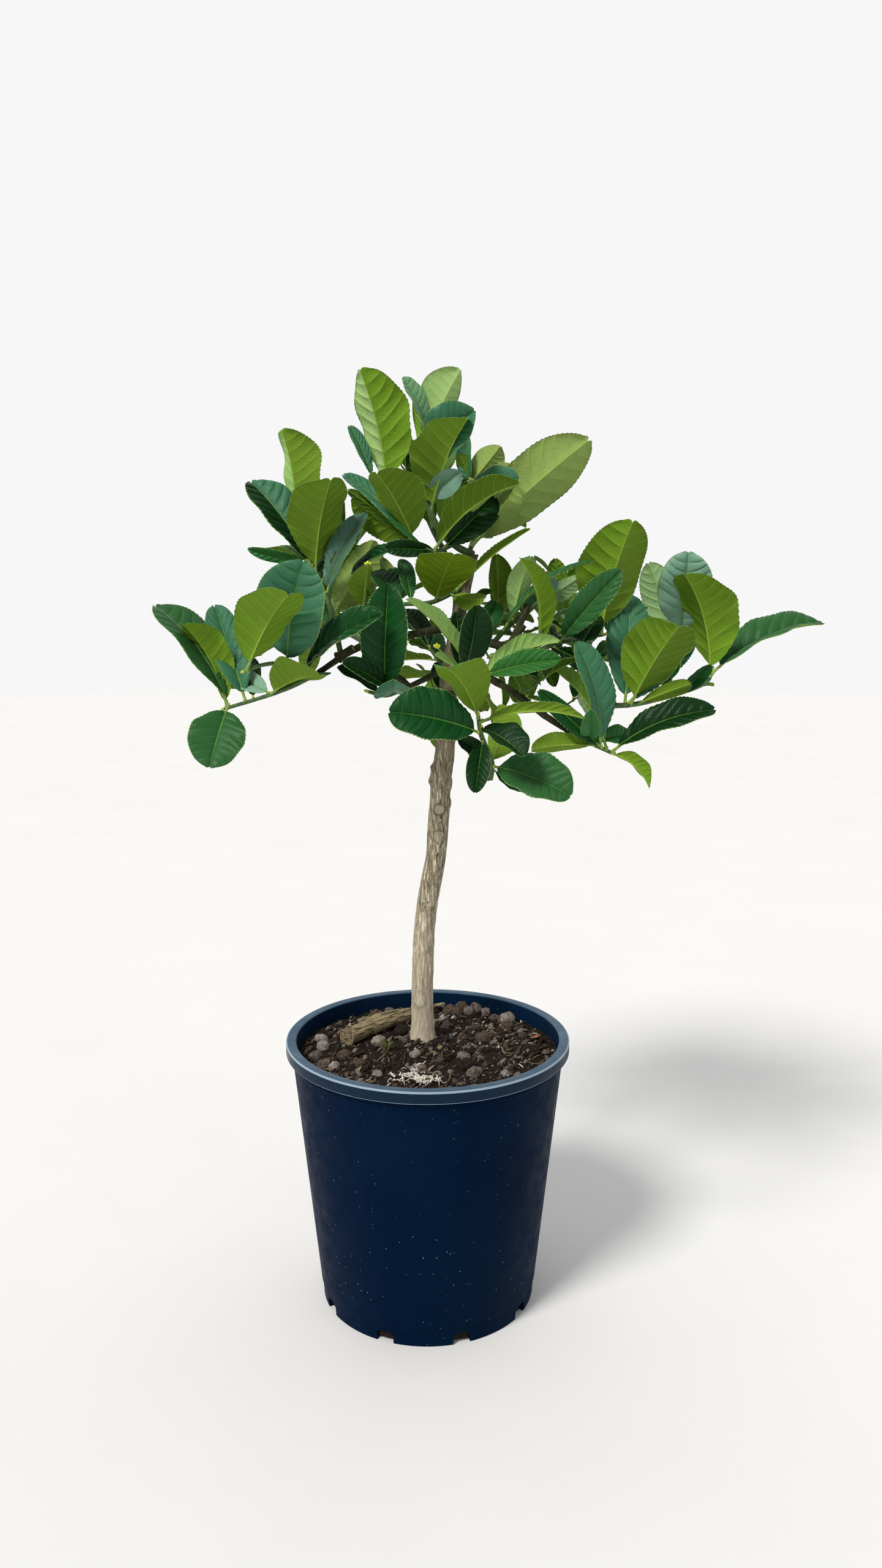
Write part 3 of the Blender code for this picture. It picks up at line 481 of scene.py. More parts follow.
# The leaf blade. Rows run from the midrib forward to the edge, along the side ribs: the parts of
# one space between two ribs where a row lies, with the height of the quilting and of the edge's
# scallops there. Columns run along the leaf, from the midrib's side to the edge.
BLADE_START = 0.09
RIB_SPACES = 8
ROWS = (
    (0, 0, 0), (0.045, 0.2, 0.3), (0.17, 0.7, 1), (0.33, 0.95, 0),
    (0.5, 1, 1), (0.67, 0.95, 0), (0.83, 0.7, 1), (0.955, 0.2, 0.3),
)
COLUMNS = (0, 0.22, 0.5, 0.78, 0.97, 1)
SMALL_RIB_SPACES = 5
SMALL_ROWS = ((0, 0, 0), (0.5, 1, 1))
SMALL_COLUMNS = (0, 0.5, 1)
SMALL_LEAF = 46
RIB_SWEEP = 0.2
RIB_SWEEP_STRAYS = 0.05
RIB_STRAYS = 0.016
BASE_TAPER = (0.56, 0.72)
TIP_TAPER = (0.44, 0.56)
BLADE_END = 0.985
BLADE_FULLNESS = 0.9
TIP_LOBES = 0.02
BLADE_THICKNESS = 0.45
QUILTING = (0.010, 0.020)
SCALLOP = 0.9
RIB_HALF_WIDTH = 1.0
RIB_DEPTH = 1.3
RIB_TAPER = 0.75
GROOVE = 0.35
FULL_SIZE_LEAF = 90
FOLD_AT_MIDRIB = 1.15
FOLD_LOST_TO_EDGE = 0.3
WAVES = (1.6, 2.8)
WAVE_PHASES = (0, 6.28)
WAVE_LEAST = 0.025
WAVE_STRAYS = 0.05
CURL = (-0.05, 0.22)
CURL_START = 0.6
TWIST_STRAYS = 14
BEND_STRAYS = 0.05

# The stalk: places along the leaf, its radius at each for a stalk of size 1, and the sizes
STALK_PLACES = (0, 0.03, 0.06, 0.09, 0.125)
STALK_RADII = (2.0, 1.35, 1.15, 1.3, 0.9)
STALK_LEAST = 0.45
STALK_MOST = 1.25
STALK_GROWTH = 130

# Buds by half width, half width and half length, and thorns by radius at each share of the length
TIP_BUD = (1.7, 1.7, 3.4)
AXIL_BUD = (1.3, 1.3, 2.2)
YELLOW_BUD = (1.7, 1.7, 2.8)
YELLOW_SIDE_BUD = (1.4, 1.4, 2.6)
YELLOW_SIDE_BUDS = 5
THORN = ((0, 1.1), (0.3, 0.8), (0.65, 0.5), (1, 0.12))
THORN_SHARE = 0.16
THORN_LENGTHS = (7, 12)

# Side twigs: the fine growth between the leaves
TWIG_SEED = 7
HEART_SEED = 11
TWIG_SPACING = 34
TWIG_TURN = 137
TWIG_TURN_STRAYS = 20
TWIG_ALONG_SHOOT = 0.6
TWIG_OUTWARDS = 0.9
TWIG_RISE = 0.35
TWIG_LENGTHS = (20, 46)
TWIG_RADII = (1.3, 0.8)
TWIG_CLEARANCE = 1
TWIG_LEAVES = 4
TWIG_LEAF_LENGTH = 42

# Twigs that fill the heart of the crown with dark leaves: the limb each row starts on, the mass
# that it belongs to, the first and last place along the limb, and how many twigs it has
HEART_TWIGS = (
    ("bough_right", "foliage_right_middle", 0.10, 0.62, 8),
    ("bough_right", "foliage_right_up", 0.20, 0.55, 4),
    ("bough_right_low", "foliage_right_low", 0.10, 0.90, 8),
    ("bough_left", "foliage_left_up", 0.15, 0.70, 4),
    ("trunk", "foliage_inner_back", 0.70, 0.92, 7),
    ("trunk", "foliage_inner_right", 0.74, 0.82, 2),
    ("bough_front", "foliage_front_low", 0.20, 0.90, 3),
)
HEART_CENTRE = Vector((62, 10, 700))
HEART_HALF_SIZE = Vector((150, 110, 95))
# The heart's leaves take the darkest colourings, partly as painted shade of the crown's heart
HEART_TINTS = ("dark", "dark", "deep", "moss")
HEART_LEAF_LENGTH = 66
HEART_LEAVES = 4

# Sprouts: the mass that each belongs to, its foot and its tip, which ends in a yellow bud
SPROUTS = (
    ("foliage_upper_left", (-63, -22, 731), (-57, -38, 777)),
    ("foliage_inner_front", (33, -20, 673), (10, -44, 698)),
)
SPROUT_RADII = (1.2, 0.9)

# How much of its curl, sway and twist a marked leaf shows, where a spiral leaf shows all of it
MARKED_WILD = 0.2

Leaf = namedtuple("Leaf", "root heading face length width fold arch tint wild")

# The colouring of a leaf: its upper face and its underside. Where a row names two, the halves
# differ: the first is on the left when the upper face is seen with its tip up. This difference
# is painted light and shade: one half lit, the other in shade.
TINTS = {
    # The dark upper face is partly painted shade, for leaves deep in the shaded crown
    "dark": (0x062F0C, 0x3C5E10),
    "deep": (0x0C4318, 0x4C711A),
    "fern": (0x2C5E30, 0x5F8230),
    "grass": (0x2F6A2C, 0x6F9A2C),
    # The blue-grey upper faces of teal, slate and sage are partly painted reflection of the sky
    "teal": (0x3A7050, 0x5A7C35),
    "slate": (0x4E7260, 0x5A7A45),
    "sage": (0x7CA68E, 0x8FB07A),
    "moss": (0x1F5526, 0x58761A),
    "olive": (0x2F6A35, 0x6A8A26),
    "leafy": (0x2F6F33, 0x6B9022),
    # The bright undersides of lime and pale are partly painted glow of light shining through the leaf
    "lime": (0x4F8A48, 0x92BA66),
    "pale": (0x6E9C70, 0x9CBE74),
    "khaki": (0x4A7A45, 0x90A85A),
    "gold": (0x3F6A20, 0x66800F),
}
SPIRAL_TINTS = ("dark", "deep", "deep", "fern", "grass", "teal", "moss", "olive", "leafy", "sage")

# The parts of a leaf: the end of each material's name, whether it is on the underside, the colour
# blended in and its share, then roughness, gloss and the height of its grain
UPPER_RIB = 0x7FA348
UNDER_RIB = 0x9CB348
LEAF_EDGE = 0x6C8C44
LEAF_PARTS = {
    "upper": ("upper", False, UPPER_RIB, 0, 0.40, 0.17, 0.25),
    "under": ("under", True, UNDER_RIB, 0, 0.70, 0.12, 0.4),
    "upper rib line": ("upper_lines", False, UPPER_RIB, 0.18, 0.40, 0.17, 0.25),
    "under rib line": ("under_lines", True, UNDER_RIB, 0.3, 0.66, 0.12, 0.3),
    "upper rib": ("upper_midrib", False, UPPER_RIB, 0.72, 0.45, 0.2, 0.2),
    "under rib": ("under_midrib", True, UNDER_RIB, 0.75, 0.6, 0.15, 0.2),
}

# The scales of the noise on a leaf: its uneven gloss, its broad folds and the net of small veins
LEAF_GLOSS_SCALE = 55
LEAF_FOLD_SCALE = 130
LEAF_NET_SCALE = 330

# Young growth: the material's name and its two colours
TWIG_LOOKS = {
    "twig": ("green_twig", 0x2E4A1E, 0x4F7434),
    "stalk": ("leaf_stalk", 0x6E9238, 0x93AE4C),
    "bud": ("bud", 0x9AB044, 0xC3CE58),
    "yellow bud": ("yellow_bud", 0xC2D02C, 0xE2E446),
    "thorn": ("thorn", 0x55682F, 0x7A6B45),
}

# Bark: its dark, middle and pale colours, and its tints near the soil and high up; the dark tint high up is
# painted shade, where the crown shades the limbs
TRUNK_COLOURS = (0x40382A, 0x9C9078, 0xE6DCC4, 0xD8CCB4, 0x564C3A)
BOUGH_COLOURS = (0x26281A, 0x45452F, 0x76705A, 0x45452F, 0x33351F)
SCAR_COLOUR = 0xA5A48C

# The streaks of the bark: places of the dark, middle and pale colours on the ramp, and the scales
# of the noise that makes the streaks, their bends and the broad patches
BARK_STOPS = (0.37, 0.45, 0.54, 0.60)
STREAK_SCALE = 600
STREAK_STRETCH = (1, 1, 0.1)
BEND_SCALE = 120
BEND_SHIFT = 0.0035
PATCH_SCALE = 190

# The pot: the material's name, colour, roughness, gloss, share of dust specks and worn colour
POT_SKINS = {
    "pot": ("pot_plastic", 0x00142E, 0.45, 0.02, 0.12, 0x0C2A40),
    "pot inside": ("pot_inside", 0x061F3A, 0.5, 0.05, 0.05, 0x22384A),
    # The rim's top is lighter, partly from dust and partly as painted reflection of the sky
    "pot rim": ("pot_rim", 0x304C62, 0.42, 0.2, 0.08, 0x6A8294),
    "pot lip": ("pot_lip", 0x041E34, 0.36, 0.12, 0.06, 0x1E3C54),
    # The pot edge is a painted highlight along the lip's corners
    "pot edge": ("pot_edge", 0x8A9FB0, 0.4, 0.25, 0.02, 0xA8B6C2),
}
DUST_COLOUR = 0xB8C0C6
SPECK_SCALE = 300
SCUFF_SCALE = 95
BRUSHED_SCALE = 420

# Earth, stone, fibre and cut wood: the material's name, its two colours and the scale of its
# mottling and, where they aren't the usual ones, its roughness and relief
GROUND_LOOKS = {
    "cut wood": ("cut_wood", 0xB9B08C, 0x8F8A68, 300, 0.8, 0.4),
    "soil": ("soil", 0x0C0908, 0x43382F, 520, 0.95, 3.2),
    "dark crumb": ("soil_dark_crumb", 0x120E0C, 0x362D28, 560),
    "brown crumb": ("soil_brown_crumb", 0x2C231D, 0x67584D, 560),
    "grey crumb": ("soil_grey_crumb", 0x544C47, 0x8E857E, 500),
    "pale crumb": ("soil_pale_crumb", 0xB4ACA0, 0xDAD4CA, 500),
    "stone": ("soil_stone", 0x746B67, 0xB2A8A0, 260, 0.9, 1.8),
    "brown stone": ("soil_brown_stone", 0x4C413B, 0x85776F, 260, 0.9, 1.8),
    "fibre": ("soil_fibre", 0xB6B0A6, 0xEEE9DF, 300, 0.85, 0.5),
    "straw": ("soil_straw", 0x6A5C42, 0x978869, 300, 0.85, 0.5),
    "dry leaf": ("soil_dry_leaf", 0x6E4A36, 0x97694A, 300, 0.8, 0.5),
    "weed": ("soil_weed", 0x48581F, 0x76863C, 300, 0.6, 0.3),
    "floor": ("floor", 0xE6E6E6, 0xE8E8E8, 3, 0.9, 0.05),
}
STICK_COLOUR = 0x6E6238
STICK_GRAIN = ((0.36, 0x241F18), (0.46, 0x6A5E45), (0.56, 0xA89A78), (0.66, 0x625840))


def colour(code):
    """A screen colour as linear red, green and blue."""
    parts = [(code >> shift & 255) / 255 for shift in (16, 8, 0)]
    return [p / 12.92 if p <= 0.04045 else ((p + 0.055) / 1.055) ** 2.4 for p in parts]


def blend_codes(first, second, share):
    """The screen colour that lies this share of the way from the first to the second."""
    mixed = 0
    for shift in (16, 8, 0):
        a = first >> shift & 255
        b = second >> shift & 255
        mixed |= round(a + (b - a) * share) << shift
    return mixed


# Materials


def new_material(name, code, roughness, **settings):
    """A material with plain values on its shader, its node tree and its shader."""
    made = bpy.data.materials.new(name)
    made.use_nodes = True
    shader = made.node_tree.nodes["Principled BSDF"]
    shader.inputs["Base Color"].default_value = (*colour(code), 1)
    shader.inputs["Roughness"].default_value = roughness
    for label, value in settings.items():
        shader.inputs[label.replace("_", " ")].default_value = value
    return made, made.node_tree, shader


def node(tree, kind, inputs, **settings):
    made = tree.nodes.new("ShaderNode" + kind)
    for name, value in settings.items():
        setattr(made, name, value)
    for name, value in inputs.items():
        if isinstance(value, bpy.types.NodeSocket):
            tree.links.new(value, made.inputs[name])
        else:
            made.inputs[name].default_value = value
    return made


def place_of(tree, stretch=(1, 1, 1)):
    """Object coordinates, squeezed by the stretch along each axis."""
    coordinates = node(tree, "TexCoord", {}).outputs["Object"]
    return node(tree, "Mapping", {"Vector": coordinates, "Scale": stretch}).outputs[0]


def noise_of(tree, place, scale, detail=3, roughness=0.5):
    values = {"Vector": place, "Scale": scale, "Detail": detail, "Roughness": roughness}
    return node(tree, "TexNoise", values).outputs["Fac"]


def ramp(tree, value, stops):
    """A colour ramp: each stop is its place and its screen colour."""
    made = node(tree, "ValToRGB", {"Fac": value})
    scale = made.color_ramp.elements
    scale.remove(scale[1])
    scale[0].position = stops[0][0]
    scale[0].color = plain(stops[0][1])
    for place, code in stops[1:]:
        scale.new(place).color = plain(code)
    return made.outputs["Color"]


def spread(tree, value, low, high, to_low, to_high):
    values = {"Value": value, "From Min": low, "From Max": high, "To Min": to_low, "To Max": to_high}
    return node(tree, "MapRange", values).outputs["Result"]


def mixed(tree, share, first, second, how="MIX"):
    made = node(tree, "Mix", {0: share, 6: first, 7: second}, data_type="RGBA", blend_type=how)
    return made.outputs[2]


def maths(tree, operation, first, second=0.0):
    return node(tree, "Math", {0: first, 1: second}, operation=operation).outputs[0]


def plain(code):
    return (*colour(code), 1)


def set_bump(tree, shader, height, distance, strength=1.0):
    """Relief from this height, with the distance in millimetres."""
    values = {"Height": height, "Distance": distance * MM, "Strength": strength}
    tree.links.new(node(tree, "Bump", values).outputs["Normal"], shader.inputs["Normal"])


def leaf_material(name, code, roughness, gloss, grain):
    """Leather-like leaf skin: one plain colour, uneven gloss, and the net of small veins as relief."""
    made, tree, shader = new_material(name, code, roughness, Specular_IOR_Level=gloss)
    place = place_of(tree)
    uneven = noise_of(tree, place, LEAF_GLOSS_SCALE, 2)
    value = spread(tree, uneven, 0.3, 0.7, roughness - 0.07, roughness + 0.09)
    tree.links.new(value, shader.inputs["Roughness"])
    cells = {"Vector": place, "Scale": LEAF_NET_SCALE}
    net = node(tree, "TexVoronoi", cells, feature="DISTANCE_TO_EDGE").outputs[0]
    folds = noise_of(tree, place, LEAF_FOLD_SCALE, 3)
    height = maths(tree, "ADD", spread(tree, net, 0, 0.25, 0, 0.5), maths(tree, "MULTIPLY", folds, 1.6))
    set_bump(tree, shader, height, grain)
    return made


def leaf_materials():
    """For each colouring a glossy upper skin, a matt underside, and the ribs of both."""
    looks = {}
    for tint, faces in TINTS.items():
        for part, (ending, under, rib, share, *skin) in LEAF_PARTS.items():
            code = blend_codes(faces[under], rib, share)
            looks["%s %s" % (tint, part)] = leaf_material("leaf_%s_%s" % (tint, ending), code, *skin)
    looks["edge"] = leaf_material("leaf_edge", LEAF_EDGE, 0.5, 0.35, 0.2)
    return looks


def twig_material(name, code, second, roughness=0.5):
    """Green skin of young growth, with paler streaks along it."""
    made, tree, shader = new_material(name, code, roughness)
    place = place_of(tree)
    streaks = noise_of(tree, place, 260, 4, 0.6)
    skin = mixed(tree, spread(tree, streaks, 0.35, 0.7, 0, 1), plain(code), plain(second))
    tree.links.new(skin, shader.inputs["Base Color"])
    set_bump(tree, shader, noise_of(tree, place, 900, 3), 0.4)
    return made


def bark_material(name, dark, middle, pale, low_tint, crown_shade_tint, marks=()):
    """Young citrus bark: pale corky streaks that run up the limb over a darker ground, warmer
    towards the soil, with pale oval scars where the marks say."""
    made, tree, shader = new_material(name, middle, 0.85, Specular_IOR_Level=0.2)
    along = place_of(tree, STREAK_STRETCH)
    bend = noise_of(tree, place_of(tree), BEND_SCALE, 3)
    sway = maths(tree, "MULTIPLY", maths(tree, "SUBTRACT", bend, 0.5), BEND_SHIFT)
    shift = node(tree, "CombineXYZ", {"X": sway, "Y": sway}).outputs[0]
    shifted = node(tree, "VectorMath", {0: along, 1: shift}, operation="ADD").outputs[0]
    streaks = noise_of(tree, shifted, STREAK_SCALE, 4, 0.65)
    skin = ramp(tree, streaks, list(zip(BARK_STOPS, (dark, middle, middle, pale))))
    broad = noise_of(tree, shifted, PATCH_SCALE, 3)
    skin = mixed(tree, spread(tree, broad, 0.4, 0.65, 0, 0.45), skin, plain(dark))
    height = node(tree, "SeparateXYZ", {"Vector": place_of(tree)}).outputs["Z"]
    lowness = maths(tree, "ADD", height, maths(tree, "MULTIPLY", bend, 0.05))
    worn = mixed(tree, spread(tree, lowness, 0.29, 0.50, 0.62, 0), skin, plain(low_tint))
    # Painted shade: the bark darkens high up, inside the shade of the crown
    skin = mixed(tree, spread(tree, lowness, 0.48, 0.66, 0, 0.7), worn, plain(crown_shade_tint))
    for mark, centre in marks:
        far = scar_distance(tree, mark, centre, bend)
        ring = maths(tree, "MULTIPLY", spread(tree, far, 0.8, 1.0, 0, 1), spread(tree, far, 1.0, 1.35, 1, 0))
        skin = mixed(tree, maths(tree, "MULTIPLY", ring, 0.2 + 0.4 * mark.pale), skin, plain(dark))
        inside = maths(tree, "MULTIPLY", spread(tree, far, 0.75, 0.95, 1, 0), mark.pale * 0.6)
        skin = mixed(tree, inside, skin, plain(SCAR_COLOUR))
    tree.links.new(skin, shader.inputs["Base Color"])
    set_bump(tree, shader, streaks, 1.1)
    return made


def scar_distance(tree, mark, centre, wobble):
    """How far the place is from the mark's middle, as a share of its uneven oval."""
    place = place_of(tree)
    away = node(tree, "VectorMath", {0: place, 1: Vector(centre) * MM}, operation="SUBTRACT").outputs[0]
    squeezed = node(tree, "VectorMath", {0: away, 1: (1000 / mark.wide, 1000 / mark.wide, 1000 / mark.tall)},
                    operation="MULTIPLY").outputs[0]
    far = node(tree, "VectorMath", {0: squeezed}, operation="LENGTH").outputs["Value"]
    return maths(tree, "ADD", far, maths(tree, "MULTIPLY", maths(tree, "SUBTRACT", wobble, 0.5), 0.9))


def pot_material(name, code, roughness, gloss, dust, worn):
    """Moulded nursery plastic: fine dust specks, a few scratches and a faint brushed grain."""
    made, tree, shader = new_material(name, code, roughness, Specular_IOR_Level=gloss)
    place = place_of(tree)
    cells = node(tree, "TexVoronoi", {"Vector": place, "Scale": SPECK_SCALE})
    dots = spread(tree, cells.outputs["Distance"], 0.10, 0.16, 1, 0)
    chosen = node(tree, "SeparateColor", {"Color": cells.outputs["Color"]}).outputs[0]
    chosen = maths(tree, "GREATER_THAN", chosen, 1 - dust)
    where = spread(tree, noise_of(tree, place, 14, 2), 0.42, 0.6, 0.1, 1)
    specks = maths(tree, "MULTIPLY", maths(tree, "MULTIPLY", dots, chosen), where)
    lines = noise_of(tree, place_of(tree, (1, 1, 0.18)), SCUFF_SCALE, 5, 0.75)
    scuffs = spread(tree, lines, 0.62, 0.80, 0, 0.5)
    film = spread(tree, noise_of(tree, place, 9, 4), 0.35, 0.75, 0, 0.2)
    skin = mixed(tree, maths(tree, "ADD", scuffs, film), plain(code), plain(worn))
    skin = mixed(tree, maths(tree, "MULTIPLY", specks, 0.8), skin, plain(DUST_COLOUR))
    tree.links.new(skin, shader.inputs["Base Color"])
    uneven = spread(tree, noise_of(tree, place, 60, 4), 0.3, 0.7, roughness - 0.08, roughness + 0.12)
    tree.links.new(uneven, shader.inputs["Roughness"])
    set_bump(tree, shader, noise_of(tree, place_of(tree, (1, 1, 0.4)), BRUSHED_SCALE, 3), 0.12)
    return made


def ground_material(name, first, second, scale, roughness=0.95, relief=0.8):
    """Earth, stone, fibre or wood chips: two colours mottled into each other, and a rough skin."""
    made, tree, shader = new_material(name, first, roughness, Specular_IOR_Level=0.15)
    place = place_of(tree)
    mottle = noise_of(tree, place, scale, 5, 0.65)
    skin = mixed(tree, spread(tree, mottle, 0.38, 0.62, 0, 1), plain(first), plain(second))
    tree.links.new(skin, shader.inputs["Base Color"])
    set_bump(tree, shader, noise_of(tree, place, scale * 2.5, 5, 0.7), relief)
    return made


def stick_material():
    """Weathered wood: olive and tan grain along the stick."""
    made, tree, shader = new_material("soil_stick", STICK_COLOUR, 0.85, Specular_IOR_Level=0.2)
    turned_place = node(tree, "VectorRotate", {"Vector": place_of(tree), "Angle": -STICK_BEARING},
                        rotation_type="Z_AXIS").outputs[0]
    grain_place = node(tree, "Mapping", {"Vector": turned_place, "Scale": (0.12, 1, 1)}).outputs[0]
    grain = noise_of(tree, grain_place, 520, 5, 0.65)
    skin = ramp(tree, grain, STICK_GRAIN)
    tree.links.new(skin, shader.inputs["Base Color"])
    set_bump(tree, shader, grain, 1.2)
    return made


def make_materials(marks):
    looks = leaf_materials()
    for label, look in TWIG_LOOKS.items():
        looks[label] = twig_material(*look)
    looks["bark"] = bark_material("bark", *TRUNK_COLOURS, marks)
    looks["bough bark"] = bark_material("bough_bark", *BOUGH_COLOURS)
    for label, look in POT_SKINS.items():
        looks[label] = pot_material(*look)
    for label, look in GROUND_LOOKS.items():
        looks[label] = ground_material(*look)
    looks["stick"] = stick_material()
    return looks


# Meshes


class Piece:
    """One mesh in the making: its points in millimetres, and its faces with the look of each."""

    def __init__(self, name):
        self.name = name
        self.points = []
        self.faces = []
        self.looks = []

    def add(self, points, faces, look):
        """The look is one name for all the faces, or a list with one for each."""
        first = len(self.points)
        self.points.extend(tuple(p) for p in points)
        self.faces.extend(tuple(first + i for i in face) for face in faces)
        self.looks.extend(look if isinstance(look, list) else [look] * len(faces))

    def make(self, looks, sharp=SHARP):
        mesh = bpy.data.meshes.new(self.name)
        mesh.from_pydata((np.array(self.points) * MM).tolist(), [], self.faces)
        names = sorted(set(self.looks))
        for name in names:
            mesh.materials.append(looks[name])
        numbers = {name: number for number, name in enumerate(names)}
        mesh.polygons.foreach_set("material_index", [numbers[look] for look in self.looks])
        mesh.shade_smooth()
        mesh.set_sharp_from_angle(angle=math.radians(sharp))
        obj = bpy.data.objects.new(self.name, mesh)
        bpy.context.scene.collection.objects.link(obj)
        return obj


def settle(obj, slot, *nodes):
    """The piece rides with the plant and stands for these nodes. The slot is not used."""
    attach(obj, "root")
    if nodes:
        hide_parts(*nodes)


def smooth_path(points, steps=4):
    """Points on a smooth curve through the given ones."""
    given = [Vector(p) for p in points]
    curve = []
    for i in range(len(given) - 1):
        before = given[max(i - 1, 0)]
        start = given[i]
        end = given[i + 1]
        after = given[min(i + 2, len(given) - 1)]
        for k in range(steps):
            t = k / steps
            curve.append(0.5 * (
                2 * start
                + (end - before) * t
                + (2 * before - 5 * start + 4 * end - after) * t**2
                + (3 * start - before - 3 * end + after) * t**3
            ))
    curve.append(given[-1])
    return curve


def point_along(path, share):
    """The point and the direction at this share of the path's length."""
    lengths = [(b - a).length for a, b in zip(path, path[1:])]
    left = share * sum(lengths)
    for a, b, length in zip(path, path[1:], lengths):
        if left <= length or b is path[-1]:
            return a.lerp(b, left / length), (b - a).normalized()
        left -= length


def path_length(path):
    return sum((b - a).length for a, b in zip(path, path[1:]))


def nearest_on(path, point):
    """The point of the path that lies nearest the given one."""
    found = []
    for a, b in zip(path, path[1:]):
        near, share = intersect_point_line(point, a, b)
        near = a.lerp(b, min(max(share, 0), 1))
        found.append(((near - point).length, tuple(near)))
    return Vector(min(found)[1])


def rings_of(path):
    """For each point of the path: the point, and two directions square to the path there."""
    side = None
    for i, centre in enumerate(path):
        forward = (path[min(i + 1, len(path) - 1)] - path[max(i - 1, 0)]).normalized()
        if side is None:
            side = forward.orthogonal().normalized()
        side = (side - forward * side.dot(forward)).normalized()
        yield centre, side, forward.cross(side)


def tube_faces(rings, sides):
    faces = [tuple(range(sides - 1, -1, -1))]
    for i in range(rings - 1):
        for k in range(sides):
            here = i * sides + k
            beside = i * sides + (k + 1) % sides
            faces.append((here, beside, beside + sides, here + sides))
    last = (rings - 1) * sides
    faces.append(tuple(range(last, last + sides)))
    return faces


def circle(steps, shift=0.0):
    """The cosine and sine of each step once round, moved on by this part of a step."""
    angles = [2 * math.pi * (k + shift) / steps for k in range(steps)]
    return [(math.cos(angle), math.sin(angle)) for angle in angles]


def tube_shape(path, radii, sides):
    """Points and faces of a closed tube along the path, with flat ends."""
    points = []
    for (centre, side, across), radius in zip(rings_of(path), radii):
        points += [centre + radius * (side * c + across * s) for c, s in circle(sides)]
    return points, tube_faces(len(path), sides)


def tapering(thick, thin, count):
    return [thick + (thin - thick) * i / (count - 1) for i in range(count)]


# The plant's rule, as in the solids


def trunk_radius(height):
    """Thick at the soil, with the root flare, and tapering faster inside the crown."""
    foot = TRUNK[0][2]
    tip = TRUNK[-1][2]
    flare = FLARE * math.exp(-(height - foot) / FLARE_HEIGHT)
    if height < CROWN_BASE:
        share = (height - foot) / (CROWN_BASE - foot)
        return flare + TRUNK_RADIUS + share * (TRUNK_RADIUS_AT_CROWN - TRUNK_RADIUS)
    share = (height - CROWN_BASE) / (tip - CROWN_BASE)
    return TRUNK_RADIUS_AT_CROWN + share * (TRUNK_TIP_RADIUS - TRUNK_RADIUS_AT_CROWN)


def limb_lines():
    """Each limb's name with its centre line, the radius at each point of it, and its sides."""
    path = smooth_path(TRUNK, 2)
    path.insert(1, path[0] + UP * FLARE_HEIGHT / 2)
    limbs = {"trunk": (path, [trunk_radius(p.z) for p in path], TRUNK_SIDES)}
    for name, bough in BOUGHS.items():
        path = smooth_path(bough.path, 3)
        limbs[name] = (path, tapering(bough.thick, bough.thin, len(path)), BOUGH_SIDES)
    return limbs


def leaf_space(leaf, clearance=0):
    """Points and faces of the leaf's solid. With a clearance it is that much larger all round."""
    heading = leaf.heading
    side = heading.cross(leaf.face)
    thickness = max(leaf.length * LEAF_THICKNESS, LEAF_LEAST_THICKNESS) + 2 * clearance
    fold = math.radians(leaf.fold)
    points = [leaf.root]
    for share, width in LEAF_OUTLINE:
        arch = leaf.arch * 4 * share * (1 - share) * leaf.length
        middle = leaf.root + heading * share * leaf.length + leaf.face * (arch + clearance)
        half = width * leaf.width / 2 + clearance
        edge = leaf.face * (half * math.sin(fold) - thickness / 2)
        across = side * half * math.cos(fold)
        points += [middle, middle + across + edge, middle - leaf.face * thickness, middle - across + edge]
    points.append(leaf.root + heading * (leaf.length + clearance))
    last = len(points) - 1
    faces = [(0, 1 + (k + 1) % 4, 1 + k) for k in range(4)]
    for first in range(1, last - 4, 4):
        for k in range(4):
            n = (k + 1) % 4
            faces.append((first + k, first + n, first + n + 4))
            faces.append((first + k, first + n + 4, first + k + 4))
    faces += [(last - 4 + k, last - 4 + (k + 1) % 4, last) for k in range(4)]
    return points, faces


def square_to(vector, heading):
    """The part of the vector that stands square to the heading, as a unit vector."""
    return (vector - heading * vector.dot(heading)).normalized()


def turned_about(vector, axis, degrees):
    angle = math.radians(degrees)
    return vector * math.cos(angle) + axis.cross(vector) * math.sin(angle)


def marked_leaf(path, along, bearing, lift, length, width, turn, fold, tint, arch=LEAF_ARCH):
    root = point_along(path, min(along, SHOOT_END))[0]
    level = math.cos(math.radians(lift))
    heading = Vector((
        level * math.sin(math.radians(bearing)),
        -level * math.cos(math.radians(bearing)),
        math.sin(math.radians(lift)),
    ))
    face = turned_about(square_to(VIEWER, heading), heading, turn)
    return Leaf(root, heading, face, length, width, fold, arch, tint, MARKED_WILD)


def spiral_leaf(path, number, count, size, start, rng):
    """One of the leaves that go round the shoot by the spiral, leaning less towards its tip."""
    along = SPIRAL_START + (SHOOT_END - SPIRAL_START) * (number + 0.5) / count
    root, axis = point_along(path, along)
    bearing = start + SPIRAL_TURN * number + rng.uniform(-SPIRAL_TURN_STRAYS, SPIRAL_TURN_STRAYS)
    out = turned_about(square_to(SPIRAL_ZERO, axis), axis, bearing)
    lean = LEAN_AT_FOOT + (LEAN_AT_TIP - LEAN_AT_FOOT) * along + rng.uniform(-LEAN_STRAYS, LEAN_STRAYS)
    heading = axis * math.cos(math.radians(lean)) + out * math.sin(math.radians(lean))
    heading = (heading - UP * rng.uniform(0, DROOP)).normalized()
    face = square_to(axis * FACE_ALONG_SHOOT + UP, heading)
    face = turned_about(face, heading, rng.uniform(-ROLL_STRAYS, ROLL_STRAYS))
    length = size * rng.uniform(*LENGTH_RANGE) * (LENGTH_AT_FOOT - LENGTH_LOST_TO_TIP * along)
    fold = rng.uniform(*FOLD_RANGE)
    return Leaf(root, heading, face, length, length * SPIRAL_WIDTH, fold, LEAF_ARCH, None, 1)


def inside_crown(leaf, centre=CROWN_CENTRE, half_size=CROWN_HALF_SIZE):
    tip = leaf.root + leaf.heading * leaf.length - centre
    return sum((tip[i] / half_size[i]) ** 2 for i in range(3)) < 1


def box_of(points):
    """The lowest and the highest corner round the points."""
    return [[pick(p[i] for p in points) for i in range(3)] for pick in (min, max)]


